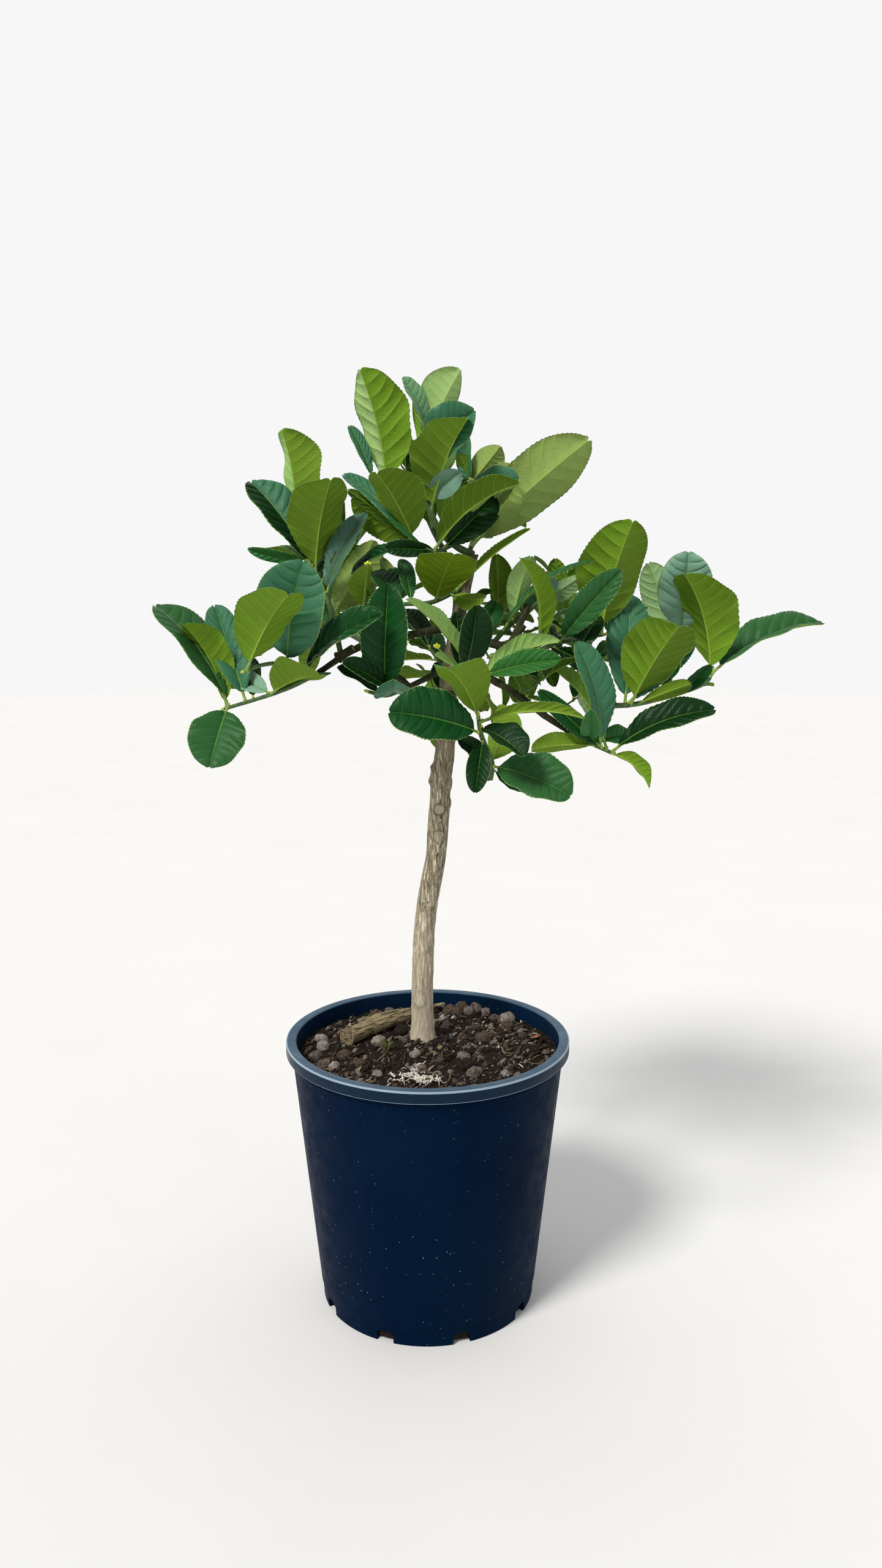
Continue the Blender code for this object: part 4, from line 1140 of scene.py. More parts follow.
class Space:
    """What stands where, so that a leaf can be refused where it would touch another mass or limb."""

    def __init__(self):
        self.taken = []

    def add(self, owner, shape):
        points, faces = shape
        low, high = box_of(points)
        self.taken.append((owner, low, high, BVHTree.FromPolygons(points, faces)))

    def touches(self, owner, shape):
        """Whether this shape would touch what belongs to another owner."""
        points, faces = shape
        low, high = box_of(points)
        tree = None
        for other, other_low, other_high, other_tree in self.taken:
            apart = any(low[i] > other_high[i] or high[i] < other_low[i] for i in range(3))
            if other == owner or apart:
                continue
            tree = tree or BVHTree.FromPolygons(points, faces)
            if tree.overlap(other_tree):
                return True
        return False


def shoot_lines(limbs):
    """For each mass, its shoots with their smooth centre lines. The first starts on the limb that
    carries the mass, and the others on the first."""
    lines = {}
    for mass, (carrier, shoots) in MASSES.items():
        lines[mass] = []
        foot_line = limbs[carrier][0]
        for shoot in shoots:
            path = [Vector(p) for p in shoot.path]
            path[0] = nearest_on(foot_line, path[0])
            lines[mass].append((shoot, smooth_path(path, 3)))
            foot_line = lines[mass][0][1]
    return lines


def offer(mass, leaf, leaves, space):
    """Takes the leaf where it touches no other mass or limb. Its foot lies inside its own shoot."""
    blade = leaf._replace(root=leaf.root + leaf.heading * LEAF_FOOT)
    if space.touches(mass, leaf_space(blade, LEAF_CLEARANCE)):
        return False
    space.add(mass, leaf_space(leaf))
    leaves[mass].append(leaf)
    return True


def grow_leaves(lines, space):
    """The leaves of the solids: the marked ones of every mass, then those of the spiral. A shoot
    with marked leaves takes only spiral leaves that point to the back and don't hang."""
    leaves = {mass: [] for mass in lines}
    for mass, shoots in lines.items():
        for shoot, path in shoots:
            for row in shoot.marked:
                offer(mass, marked_leaf(path, *row), leaves, space)
    rng = random.Random(SEED)
    tints = random.Random(SEED + 1)
    for mass, shoots in lines.items():
        for shoot, path in shoots:
            start = rng.uniform(0, 360)
            for number in range(shoot.spiral):
                leaf = spiral_leaf(path, number, shoot.spiral, shoot.size, start, rng)
                leaf = leaf._replace(tint=tints.choice(SPIRAL_TINTS))
                fits = leaf.heading.y > BEHIND and leaf.heading.z > HANGING or not shoot.marked
                if fits and inside_crown(leaf):
                    offer(mass, leaf, leaves, space)
    return leaves


# Finer growth


def side_twigs(lines, leaves, space):
    """Short twigs between the leaves of the shoots that grow by the spiral alone, each with its own
    small leaves. Returns each mass's twigs as centre lines."""
    rng = random.Random(TWIG_SEED)
    twigs = {mass: [] for mass in lines}
    for mass, shoots in lines.items():
        for shoot, path in shoots:
            if shoot.marked:
                continue
            count = int(path_length(path) / TWIG_SPACING)
            start = rng.uniform(0, 360)
            for number in range(count):
                twig = side_twig(path, (number + 0.8) / (count + 0.6), start + TWIG_TURN * number, rng)
                if blocked(mass, twig[1:], space):
                    continue
                grown = 0
                for k in range(TWIG_LEAVES):
                    leaf = spiral_leaf(twig, k, TWIG_LEAVES, TWIG_LEAF_LENGTH, start, rng)
                    leaf = leaf._replace(tint=rng.choice(SPIRAL_TINTS))
                    if inside_crown(leaf):
                        grown += offer(mass, leaf, leaves, space)
                if grown:
                    twigs[mass].append(twig)
    return twigs


def blocked(mass, line, space):
    """Whether a twig along this line would touch another mass or a limb."""
    radii = [TWIG_RADII[0] + TWIG_CLEARANCE] * len(line)
    return space.touches(mass, tube_shape(line, radii, sides=4))


def heart_twigs(limbs, leaves, space, twigs):
    """Twigs on the limbs themselves, whose dark leaves fill the heart of the crown from behind; their
    darkness is partly painted shade of the crown's heart.
    """
    rng = random.Random(HEART_SEED)
    for limb, mass, first, last, count in HEART_TWIGS:
        path = limbs[limb][0]
        start = rng.uniform(0, 360)
        for number in range(count):
            along = first + (last - first) * (number + rng.random()) / count
            twig = side_twig(path, along, start + TWIG_TURN * number, rng)
            if blocked(mass, twig[2:], space):
                continue
            grown = 0
            for k in range(HEART_LEAVES):
                leaf = spiral_leaf(twig, k, HEART_LEAVES, HEART_LEAF_LENGTH, start, rng)
                leaf = leaf._replace(tint=rng.choice(HEART_TINTS))
                if leaf.heading.y > 0 and inside_crown(leaf, HEART_CENTRE, HEART_HALF_SIZE):
                    grown += offer(mass, leaf, leaves, space)
            if grown:
                twigs[mass].append(twig)


def side_twig(path, along, bearing, rng):
    """A short curved twig that leaves the shoot sideways and turns up."""
    foot, axis = point_along(path, along)
    bearing += rng.uniform(-TWIG_TURN_STRAYS, TWIG_TURN_STRAYS)
    out = turned_about(square_to(SPIRAL_ZERO, axis), axis, bearing)
    length = rng.uniform(*TWIG_LENGTHS)
    heading = (axis * TWIG_ALONG_SHOOT + out * TWIG_OUTWARDS).normalized()
    bent = (heading + UP * TWIG_RISE).normalized()
    return smooth_path([foot, foot + heading * length * 0.5, foot + (heading + bent) * length * 0.5], 3)


# Leaves


Grid = namedtuple("Grid", "along bulge scallop side share faces kinds halves")


def blade_grid(spaces, rows, columns):
    """The pattern that every blade of one fineness shares."""
    along = [(space + part) / spaces for space in range(spaces) for part, high, out in rows] + [1]
    bulge = [high for space in range(spaces) for part, high, out in rows] + [0]
    scallop = [out for space in range(spaces) for part, high, out in rows] + [0]
    side = [-1] * len(columns) + [0] + [1] * len(columns)
    share = [*reversed(columns), 0, *columns]
    width = len(side)
    height = len(along)
    middle = len(columns)
    below = width * height
    faces = []
    kinds = []
    halves = []
    for r in range(height - 1):
        on_rib = r % len(rows) in (0, len(rows) - 1) and len(rows) > 2
        for c in range(width - 1):
            here = r * width + c
            beyond = here + width
            faces.append((here, here + 1, beyond + 1, beyond))
            faces.append((below + here, below + beyond, below + beyond + 1, below + here + 1))
            if c in (middle - 1, middle):
                kinds += ["upper rib", "under rib"]
            elif c in (0, width - 2) and len(rows) > 2:
                kinds += ["edge", "edge"]
            else:
                drawn = on_rib and 0 < r < height - 2
                kinds += ["upper rib line", "under rib line"] if drawn else ["upper", "under"]
            halves += [0, 0] if c < middle else [-1, -1]
        left = r * width
        right = left + width - 1
        faces.append((left, left + width, below + left + width, below + left))
        faces.append((right + width, right, below + right, below + right + width))
        kinds += ["edge", "edge"]
        halves += [0, -1]
    last = (height - 1) * width
    for c in range(width - 1):
        faces.append((last + c, last + c + 1, below + last + c + 1, below + last + c))
        faces.append((c + 1, c, below + c, below + c + 1))
        kinds += ["edge", "edge"]
        halves += [0, 0]
    arrays = [np.array(values, float) for values in (along, bulge, scallop, side, share)]
    return Grid(*arrays, faces, kinds, halves)


def blade_width(share, base, tip):
    """Half the blade's width as a share of the widest. Higher numbers taper the base and the tip
    more; the blade is broadest a little past its middle."""
    widest = base / (base + tip)
    share = np.clip(share, 0, 1)
    return (share / widest) ** base * ((1 - share) / (1 - widest)) ** tip


def uniform_list(rng, most, rows, count):
    """Rows of numbers, each between minus and plus the most."""
    return [[rng.uniform(-most, most) for _ in range(count)] for _ in range(rows)]


def add_blade(piece, leaf, grid, rng):
    """One leaf blade. Its halves fold up from the midrib, the blade bulges between its side ribs,
    and its edge is scalloped. The leaf's wild share says how far it curls, sways and twists."""
    length = leaf.length
    wild = leaf.wild
    size = min(1, length / FULL_SIZE_LEAF)
    rows = grid.along[:, None]
    share = grid.share[None, :]
    side = grid.side[None, :]
    knots = np.linspace(0, 1, RIB_SPACES + 1)
    strays = [np.interp(grid.along, knots, ribs)[:, None]
              for ribs in uniform_list(rng, RIB_STRAYS, 2, RIB_SPACES + 1)]
    strays = np.where(side < 0, strays[0], strays[1])
    sweeps = RIB_SWEEP + np.where(side < 0, *uniform_list(rng, RIB_SWEEP_STRAYS, 1, 2)[0])
    along = rows + (sweeps * share ** 1.3 + strays * share ** 0.7) * np.sin(np.pi * rows)
    rib = RIB_HALF_WIDTH * size * (1 - RIB_TAPER * along)
    outline = blade_width(along * BLADE_END, rng.uniform(*BASE_TAPER), rng.uniform(*TIP_TAPER))
    half = np.maximum(outline * leaf.width * BLADE_FULLNESS / 2, rib)
    reach = rib + (half - rib) * share
    reach = reach + SCALLOP * size * grid.scallop[:, None] * (share > 0.9)
    fold = np.radians(leaf.fold) * (FOLD_AT_MIDRIB - FOLD_LOST_TO_EDGE * share)
    across = side * reach * np.cos(fold)
    rise = np.abs(side) * reach * np.sin(fold)
    quilting = rng.uniform(*QUILTING) * length
    rise = rise + quilting * grid.bulge[:, None] * np.sqrt(4 * share * (1 - share))
    waves = rng.uniform(*WAVES)
    phase = np.where(side < 0, rng.uniform(*WAVE_PHASES), rng.uniform(*WAVE_PHASES))
    wave = (WAVE_LEAST + WAVE_STRAYS * wild * rng.random()) * leaf.width
    rise = rise + wave * share ** 2 * np.sin(2 * np.pi * waves * along + phase)
    place = BLADE_START + (1 - BLADE_START) * along
    lobes = TIP_LOBES * length * np.sin(np.pi * share ** 0.7) * (rows >= 1)
    forward = place * length + lobes
    curl = rng.uniform(*CURL) * wild
    rise = rise + leaf.arch * 4 * place * (1 - place) * length
    rise = rise - curl * np.clip(place - CURL_START, 0, 1) ** 2 * length
    twist = np.radians(rng.uniform(-TWIST_STRAYS, TWIST_STRAYS) * wild) * place
    turned_across = across * np.cos(twist) - rise * np.sin(twist)
    turned_rise = across * np.sin(twist) + rise * np.cos(twist)
    bend = rng.uniform(-BEND_STRAYS, BEND_STRAYS)
    turned_across = turned_across + bend * wild * length * place ** 2
    inner = np.abs(side) < 0.5
    upper = turned_rise - GROOVE * size * inner
    lower = turned_rise - BLADE_THICKNESS * (1 - 0.5 * share ** 4)
    lower = lower - RIB_DEPTH * size * (1 - 0.8 * along) * inner
    heading = np.array(leaf.heading)
    face = np.array(leaf.face)
    sideways = np.cross(heading, face)
    level = np.array(leaf.root) + forward[..., None] * heading + turned_across[..., None] * sideways
    points = [(level + height[..., None] * face).reshape(-1, 3) for height in (upper, lower)]
    # Where the colouring names two, each half takes its own: painted light and shade, one half lit and the
    # other in shade
    tints = leaf.tint.split("/")
    looks = [kind if kind == "edge" else "%s %s" % (tints[half], kind)
             for kind, half in zip(grid.kinds, grid.halves)]
    piece.add(np.concatenate(points).tolist(), grid.faces, looks)


def leaf_line(leaf, place):
    """The point of the leaf's midrib at this share of its length."""
    arch = leaf.arch * 4 * place * (1 - place) * leaf.length
    return leaf.root + leaf.heading * place * leaf.length + leaf.face * arch


def add_stalk(piece, leaf):
    """The leaf's stalk, thickest where it joins the shoot."""
    size = min(STALK_MOST, STALK_LEAST + leaf.length / STALK_GROWTH)
    path = [leaf_line(leaf, place) - leaf.face * 0.5 for place in STALK_PLACES]
    radii = [size * r for r in STALK_RADII]
    piece.add(*tube_shape(path, radii, sides=8), "stalk")


def add_ball(piece, centre, size, heading, look, rough=0.0, steps=(8, 6)):
    """A small rounded body, as long as the size's last number along its heading. Its skin is
    uneven by the rough share."""
    around, rows = steps
    side = heading.orthogonal().normalized()
    across = heading.cross(side)
    points = [centre - heading * size[2]]
    for r in range(1, rows):
        tilt = math.pi * r / rows - math.pi / 2
        for c, s in circle(around):
            flat = Vector((math.cos(tilt) * c, math.cos(tilt) * s, math.sin(tilt)))
            flat *= 1 + rough * noise.noise(flat * 1.6 + centre)
            level = centre + side * flat.x * size[0] + across * flat.y * size[1]
            points.append(level + heading * flat.z * size[2])
    points.append(centre + heading * size[2])
    last = len(points) - 1
    faces = [(0, 1 + (k + 1) % around, 1 + k) for k in range(around)]
    for r in range(rows - 2):
        for k in range(around):
            here = 1 + r * around + k
            beside = 1 + r * around + (k + 1) % around
            faces.append((here, beside, beside + around, here + around))
    faces += [(last - around + k, last - around + (k + 1) % around, last) for k in range(around)]
    piece.add(points, faces, look)


def add_thorn(piece, foot, heading, length):
    path = [foot + heading * length * share for share, radius in THORN]
    radii = [radius for share, radius in THORN]
    piece.add(*tube_shape(path, radii, sides=6), "thorn")


def add_sprout(piece, foot, tip):
    """A young shoot as thin as a leaf's stalk, with a small tuft of yellow buds at its end."""
    bent = foot.lerp(tip, 0.5) + Vector((0, -3, 2))
    path = smooth_path([foot, bent, tip], 4)
    piece.add(*tube_shape(path, tapering(*SPROUT_RADII, len(path)), sides=8), "stalk")
    for number in range(YELLOW_SIDE_BUDS):
        out = turned_about(square_to(VIEWER, UP), UP, 360 / YELLOW_SIDE_BUDS * number)
        centre = tip + out * 1.7 + UP * 0.8
        add_ball(piece, centre, YELLOW_SIDE_BUD, (out + UP).normalized(), "yellow bud")
    add_ball(piece, tip + UP * 1.6, YELLOW_BUD, UP, "yellow bud")


def make_foliage(mass, shoots, leaves, twigs, grids, looks):
    """The two pieces that stand for a mass: its leaf blades, and its shoots with all that is on
    them but the blades."""
    label = mass.replace("foliage_", "")
    rng = random.Random(label)
    blades = Piece("leaves_" + label)
    wood = Piece("twigs_" + label)
    for shoot, path in shoots:
        fine = smooth_path(path, 3)
        radii = tapering(shoot.thick, shoot.thin, len(fine))
        radii = [r * (1 + 0.10 * noise.noise(p * 0.12)) for r, p in zip(radii, fine)]
        wood.add(*tube_shape(fine, radii, sides=12), "twig")
        tip, axis = point_along(path, 1)
        add_ball(wood, tip + axis * 1.5, TIP_BUD, axis, "bud")
    for twig in twigs:
        wood.add(*tube_shape(twig, tapering(*TWIG_RADII, len(twig)), sides=7), "twig")
    for foot, tip in [(foot, tip) for owner, foot, tip in SPROUTS if owner == mass]:
        add_sprout(wood, Vector(foot), Vector(tip))
    for leaf in leaves:
        fine = leaf.length > SMALL_LEAF
        add_blade(blades, leaf, grids[fine], rng)
        add_stalk(wood, leaf)
        axil = (leaf.face + leaf.heading * 0.4).normalized()
        if fine:
            add_ball(wood, leaf.root + leaf.heading * 2.6 + leaf.face * 1.6, AXIL_BUD, axil, "bud")
        if fine and rng.random() < THORN_SHARE:
            outward = (leaf.heading * 0.6 - leaf.face * 0.8).normalized()
            add_thorn(wood, leaf.root, outward, rng.uniform(*THORN_LENGTHS))
    settle(blades.make(looks), "foliage", mass)
    settle(wood.make(looks), "foliage", mass)


# Bark


def mark_place(mark, path):
    """The middle of the mark on the trunk's skin."""
    angle = math.radians(mark.bearing)
    out = Vector((math.sin(angle), -math.cos(angle), 0))
    return trunk_centre(path, mark.height) + out * trunk_radius(mark.height)


def trunk_centre(path, height):
    for a, b in zip(path, path[1:]):
        if height <= b.z or b is path[-1]:
            return a.lerp(b, (height - a.z) / (b.z - a.z))


def bark_relief(place, rough):
    """How far the bark stands out here: broad lumps, and ridges that run along the limb."""
    lumps = noise.noise(place * 0.045) * 0.55
    ridges = noise.noise(Vector((place.x * 0.42, place.y * 0.42, place.z * 0.06))) * 0.42
    grain = noise.noise(Vector((place.x * 1.1, place.y * 1.1, place.z * 0.16)) + UP * 7) * 0.24
    return (lumps + ridges + grain) * rough


def mark_relief(mark, centre, place):
    """The raised rim round a scar and its sunken middle, or a hollow."""
    away = place - centre
    level = math.hypot(away.x, away.y)
    far = math.hypot(level / mark.wide, away.z / mark.tall)
    if far > MARK_REACH:
        return 0
    if mark.rise < 0:
        return mark.rise * math.exp(-far * far * HOLLOW_STEEPNESS)
    rim = math.exp(-((far - MARK_RIM) / MARK_RIM_WIDTH) ** 2)
    middle = MARK_MIDDLE if far < MARK_RIM else 0
    return mark.rise * max(rim, middle)


def trunk_bark(path, marks):
    """Rings up the trunk, level with the ground, with the relief of the bark and its marks."""
    points = []
    low = TRUNK[0][2] - TRUNK_SUNK
    high = TRUNK[-1][2]
    rings = round((high - low) / TRUNK_RING)
    for i in range(rings + 1):
        height = low + (high - low) * i / rings
        centre = trunk_centre(path, height)
        radius = trunk_radius(max(height, TRUNK[0][2]))
        for c, s in circle(BARK_SIDES):
            out = Vector((c, s, 0))
            place = centre + out * radius
            relief = BARK_PROUD + bark_relief(place, 1)
            relief += sum(mark_relief(mark, middle, place) for mark, middle in marks)
            points.append(place + out * relief)
    return points, tube_faces(rings + 1, BARK_SIDES)


def bough_bark(path, thick, thin):
    """A bough with its collar where it leaves the trunk."""
    count = max(round(path_length(path) / BOUGH_RING), 4)
    fine = [point_along(path, i / count)[0] for i in range(count + 1)]
    points = []
    rings = zip(rings_of(fine), tapering(thick, thin, count + 1))
    for i, ((centre, side, across), radius) in enumerate(rings):
        from_trunk = max(i * BOUGH_RING - TRUNK_RADIUS_AT_CROWN, 0)
        radius += BOUGH_COLLAR * math.exp(-from_trunk / BOUGH_COLLAR_LENGTH * 2)
        radius *= 1 + 0.10 * max(0, noise.noise(centre * 0.09)) * 2
        for c, s in circle(BOUGH_BARK_SIDES):
            out = side * c + across * s
            place = centre + out * radius
            points.append(place + out * bark_relief(place, 0.5))
    return points, tube_faces(count + 1, BOUGH_BARK_SIDES)


def make_bark(limbs, marks, looks):
    """The trunk, the boughs, and the stubs of pruned twigs."""
    for name, (path, radii, _) in limbs.items():
        piece = Piece(name + "_bark")
        if name == "trunk":
            piece.add(*trunk_bark(path, marks), "bark")
        else:
            piece.add(*bough_bark(path, radii[0], radii[-1]), "bough bark")
        settle(piece.make(looks, SHARP_ON_BARK), "bark", name)
    stubs = Piece("pruned_stubs")
    for start, end, radius in STUBS:
        start = Vector(start)
        end = Vector(end)
        line = [start.lerp(end, share) for share, width in STUB_SHAPE]
        radii = [radius * width for share, width in STUB_SHAPE]
        points, faces = tube_shape(line, radii, STUB_SIDES)
        points = [p + (p - nearest_on(line, p)).normalized() * bark_relief(p, 0.5) for p in points]
        stubs.add(points, faces[:-1], "bough bark")
        stubs.add(points[-STUB_SIDES:], [tuple(range(STUB_SIDES))], "cut wood")
    settle(stubs.make(looks, SHARP_ON_STUBS), "bark")


# Pot and soil


def turned_shape(outline, steps):
    """Points and faces of a solid turned round the Z axis. Each outline point is a radius and a
    height; the first and the last lie on the axis."""
    points = []
    rings = []
    for radius, height in outline:
        first = len(points)
        count = steps if radius else 1
        points += [(radius * c, radius * s, height) for c, s in circle(steps)[:count]]
        rings.append([first + k % count for k in range(steps)])
    faces = []
    for low, high in zip(rings, rings[1:]):
        for k in range(steps):
            n = (k + 1) % steps
            faces.append(tuple(dict.fromkeys((low[k], low[n], high[n], high[k]))))
    return points, faces


def rounded(corner, before, after, radius, steps=4):
    """The points of an outline that round off its corner."""
    corner = Vector(corner)
    start = corner + (Vector(before) - corner).normalized() * radius
    end = corner + (Vector(after) - corner).normalized() * radius
    arc = []
    for i in range(steps + 1):
        t = i / steps
        arc.append(tuple(start * (1 - t) ** 2 + corner * 2 * t * (1 - t) + end * t**2))
    return arc


def pot_outline():
    """The wall from the middle of the base, up the outside, over the rim and down the inside."""
    under_lip = POT_HEIGHT - LIP_HEIGHT
    wall_top = RIM_RADIUS - LIP_OVERHANG
    step = under_lip - STEP_BELOW_LIP
    # Each corner: its radius, its height and how far it is rounded
    corners = (
        (0, 0, 0),
        (BASE_RADIUS, 0, 1),
        (BASE_RADIUS + BASE_LINE_STEP, BASE_LINE_HEIGHT, 0.4),
        (BASE_RADIUS + 2 * BASE_LINE_STEP, BASE_LINE_HEIGHT + BASE_LINE_STEP, 0.4),
        (wall_top - STEP_DEPTH, step, 0.4),
        (wall_top, step + STEP_DEPTH, 0.4),
        (wall_top, under_lip, 0.8),
        (RIM_RADIUS - 1, under_lip, 0.8),
        (RIM_RADIUS, under_lip + 1, 0.6),
        (RIM_RADIUS, POT_HEIGHT, LIP_ROUNDING),
        (RIM_RADIUS - RIM_WIDTH, POT_HEIGHT, LIP_ROUNDING),
        (wall_top - STEP_DEPTH - POT_WALL, step, 2),
        (BASE_RADIUS + BASE_LINE_STEP - POT_WALL, BASE_LINE_HEIGHT, 0.6),
        (BASE_RADIUS - POT_WALL, POT_WALL, 0.6),
        (0, POT_WALL, 0),
    )
    outline = [corners[0][:2]]
    for before, (r, z, rounding), after in zip(corners, corners[1:], corners[2:]):
        outline += rounded((r, z), before[:2], after[:2], rounding)
    return outline + [corners[-1][:2]]


def notch_shape():
    """A cutter with a rounded top, as deep as the wall and the floor's edge."""
    half = NOTCH_WIDTH / 2
    round_at = NOTCH_HEIGHT - half / 2
    arch = [
        (half * math.cos(math.radians(a)), round_at + half / 2 * math.sin(math.radians(a)))
        for a in range(0, 181, 12)
    ]
    outline = [(half, -POT_WALL), *arch, (-half, -POT_WALL)]
    points = [(x, y, z) for x in (-NOTCH_DEPTH, NOTCH_DEPTH) for y, z in outline]
    count = len(outline)
    faces = [tuple(range(count)), tuple(range(2 * count - 1, count - 1, -1))]
    for k in range(count):
        n = (k + 1) % count
        faces.append((k, n, n + count, k + count))
    return points, faces


def pot_look(out, high, facing):
    """What the pot's skin looks like at this distance from the axis and this height."""
    under_lip = POT_HEIGHT - LIP_HEIGHT
    if high > under_lip - 0.5 and out > RIM_RADIUS - LIP_OVERHANG:
        # The pot edge is a painted highlight along the lip's lower corner and its top outer edge
        at_top = out > RIM_RADIUS - EDGE_LINE_OUTSIDE and high > POT_HEIGHT - EDGE_LINE_TOP
        if high < under_lip + EDGE_LINE_BELOW or at_top:
            return "pot edge"
        # Faces that look up take the rim's lighter skin: partly dust, partly painted reflection of the sky
        return "pot rim" if facing.z > 0.8 else "pot lip"
    if high > POT_HEIGHT - 1.5:
        return "pot rim"
    return "pot inside" if high > POT_WALL + 1 and out < inner_radius(high) + 1 else "pot"


def make_pot(looks):
    piece = Piece("nursery_pot")
    piece.add(*turned_shape(pot_outline(), POT_STEPS), "pot")
    pot = piece.make(looks, SHARP_ON_POT)
    notches = Piece("notches")
    points, faces = notch_shape()
    for i in range(NOTCHES):
        bearing = math.radians(NOTCH_BEARING + 360 * i / NOTCHES - 90)
        along = Vector((math.cos(bearing), math.sin(bearing), 0))
        across = Vector((-along.y, along.x, 0))
        placed = [along * (BASE_RADIUS + x) + across * y + UP * z for x, y, z in points]
        notches.add(placed, faces, "pot")
    cutter = notches.make(looks)
    cut = pot.modifiers.new("notches", "BOOLEAN")
    cut.object = cutter
    cut.solver = "EXACT"
    graph = bpy.context.evaluated_depsgraph_get()
    mesh = bpy.data.meshes.new_from_object(pot.evaluated_get(graph))
    pot.modifiers.clear()
    pot.data = mesh
    bpy.data.objects.remove(cutter)
    mesh.materials.clear()
    skins = list(POT_SKINS)
    for name in skins:
        mesh.materials.append(looks[name])
    for face in mesh.polygons:
        out = math.hypot(face.center.x, face.center.y) / MM
        face.material_index = skins.index(pot_look(out, face.center.z / MM, face.normal))
    mesh.shade_smooth()
    mesh.set_sharp_from_angle(angle=math.radians(SHARP_ON_POT))
    settle(pot, "pot_plastic", "pot")


def inner_radius(height):
    """The pot's inner radius at this height."""
    low = (BASE_LINE_HEIGHT, BASE_RADIUS + BASE_LINE_STEP - POT_WALL)
    step = POT_HEIGHT - LIP_HEIGHT - STEP_BELOW_LIP
    high = (step, RIM_RADIUS - LIP_OVERHANG - STEP_DEPTH - POT_WALL)
    share = (height - low[0]) / (high[0] - low[0])
    return low[1] + share * (high[1] - low[1])


def soil_height(x, y):
    """The mound round the trunk's foot, and the clods and crumbs of its surface."""
    foot = Vector(TRUNK[0][:2])
    edge = POT_HEIGHT - SOIL_BELOW_RIM
    from_foot = (Vector((x, y)) - foot).length
    from_middle = math.hypot(x, y)
    if from_foot < SOIL_FLAT_RADIUS:
        level = SOIL_TOP
    elif from_middle < SOIL_SHOULDER_RADIUS:
        share = (from_foot - SOIL_FLAT_RADIUS) / (SOIL_SHOULDER_RADIUS - SOIL_FLAT_RADIUS)
        level = SOIL_TOP + (SOIL_SHOULDER - SOIL_TOP) * min(share, 1)
    else:
        share = (from_middle - SOIL_SHOULDER_RADIUS) / (inner_radius(edge) - SOIL_SHOULDER_RADIUS)
        level = SOIL_SHOULDER + (edge - SOIL_SHOULDER) * share
    for high, cut, scale in SOIL_RELIEF:
        level += high * noise.noise(Vector((x, y, cut)) * scale)
    return level


def soil_shape():
    """The surface in rings round the middle, the side along the pot's wall, and the floor."""
    edge = inner_radius(POT_HEIGHT - SOIL_BELOW_RIM) - WALL_GAP
    points = [(0, 0, soil_height(0, 0))]
    for ring in range(1, SOIL_RINGS + 1):
        radius = edge * ring / SOIL_RINGS
        for c, s in circle(SOIL_STEPS, 0.5 * (ring % 2)):
            points.append((radius * c, radius * s, soil_height(radius * c, radius * s)))
    low = (
        (inner_radius(BASE_LINE_HEIGHT) - WALL_GAP, BASE_LINE_HEIGHT),
        (BASE_RADIUS - POT_WALL - WALL_GAP, POT_WALL + GAP),
    )
    for radius, height in low:
        points += [(radius * c, radius * s, height) for c, s in circle(SOIL_STEPS)]
    faces = []
    for k in range(SOIL_STEPS):
        n = (k + 1) % SOIL_STEPS
        faces.append((0, 1 + k, 1 + n))
        for ring in range(SOIL_RINGS + 1):
            first = 1 + ring * SOIL_STEPS
            faces.append((first + k, first + k + SOIL_STEPS, first + n + SOIL_STEPS, first + n))
    last = 1 + (SOIL_RINGS + 1) * SOIL_STEPS
    faces.append(tuple(range(last + SOIL_STEPS - 1, last - 1, -1)))
    return points, faces


def on_soil(x, y, above=0.0):
    return Vector((x, y, soil_height(x, y) + above))


def somewhere(rng, margin=4):
    """A place on the soil, every part of it as likely as any other."""
    radius = (inner_radius(POT_HEIGHT - SOIL_BELOW_RIM) - margin) * math.sqrt(rng.random())
    angle = rng.uniform(0, 2 * math.pi)
    return radius * math.cos(angle), radius * math.sin(angle)


def nearly_up(rng, strays):
    """A direction that strays a little from straight up."""
    return Vector((rng.gauss(0, strays), rng.gauss(0, strays), 1)).normalized()


def chosen_look(rng, looks):
    """One of the looks, each as likely as its number says."""
    return rng.choices(list(looks), looks.values())[0]


def add_crumbs(piece, rng):
    least, most = CRUMB_LIMITS
    for _ in range(CRUMBS):
        size = min(max(CRUMB_SIZE * math.exp(rng.gauss(0, CRUMB_SIZE_STRAYS)), least), most)
        x, y = somewhere(rng, size + 2)
        sizes = tuple(size * rng.uniform(low, high) for low, high in CRUMB_SHAPE)
        heading = nearly_up(rng, CRUMB_TILT)
        look = chosen_look(rng, CRUMB_LOOKS)
        if look == "pale crumb":
            sizes = tuple(PALE_CRUMB_SHARE * side for side in sizes)
        add_ball(piece, on_soil(x, y, size * 0.3), sizes, heading, look, CRUMB_ROUGH, (6, 4))


def add_chips(piece, rng):
    """Flat flakes of bark mulch."""
    for _ in range(CHIPS):
        x, y = somewhere(rng, 9)
        sizes = tuple(rng.uniform(low, high) for low, high in CHIP_SHAPE)
        heading = nearly_up(rng, CHIP_TILT)
        add_ball(piece, on_soil(x, y, 1), sizes, heading, rng.choice(CHIP_LOOKS), CHIP_ROUGH, (9, 5))


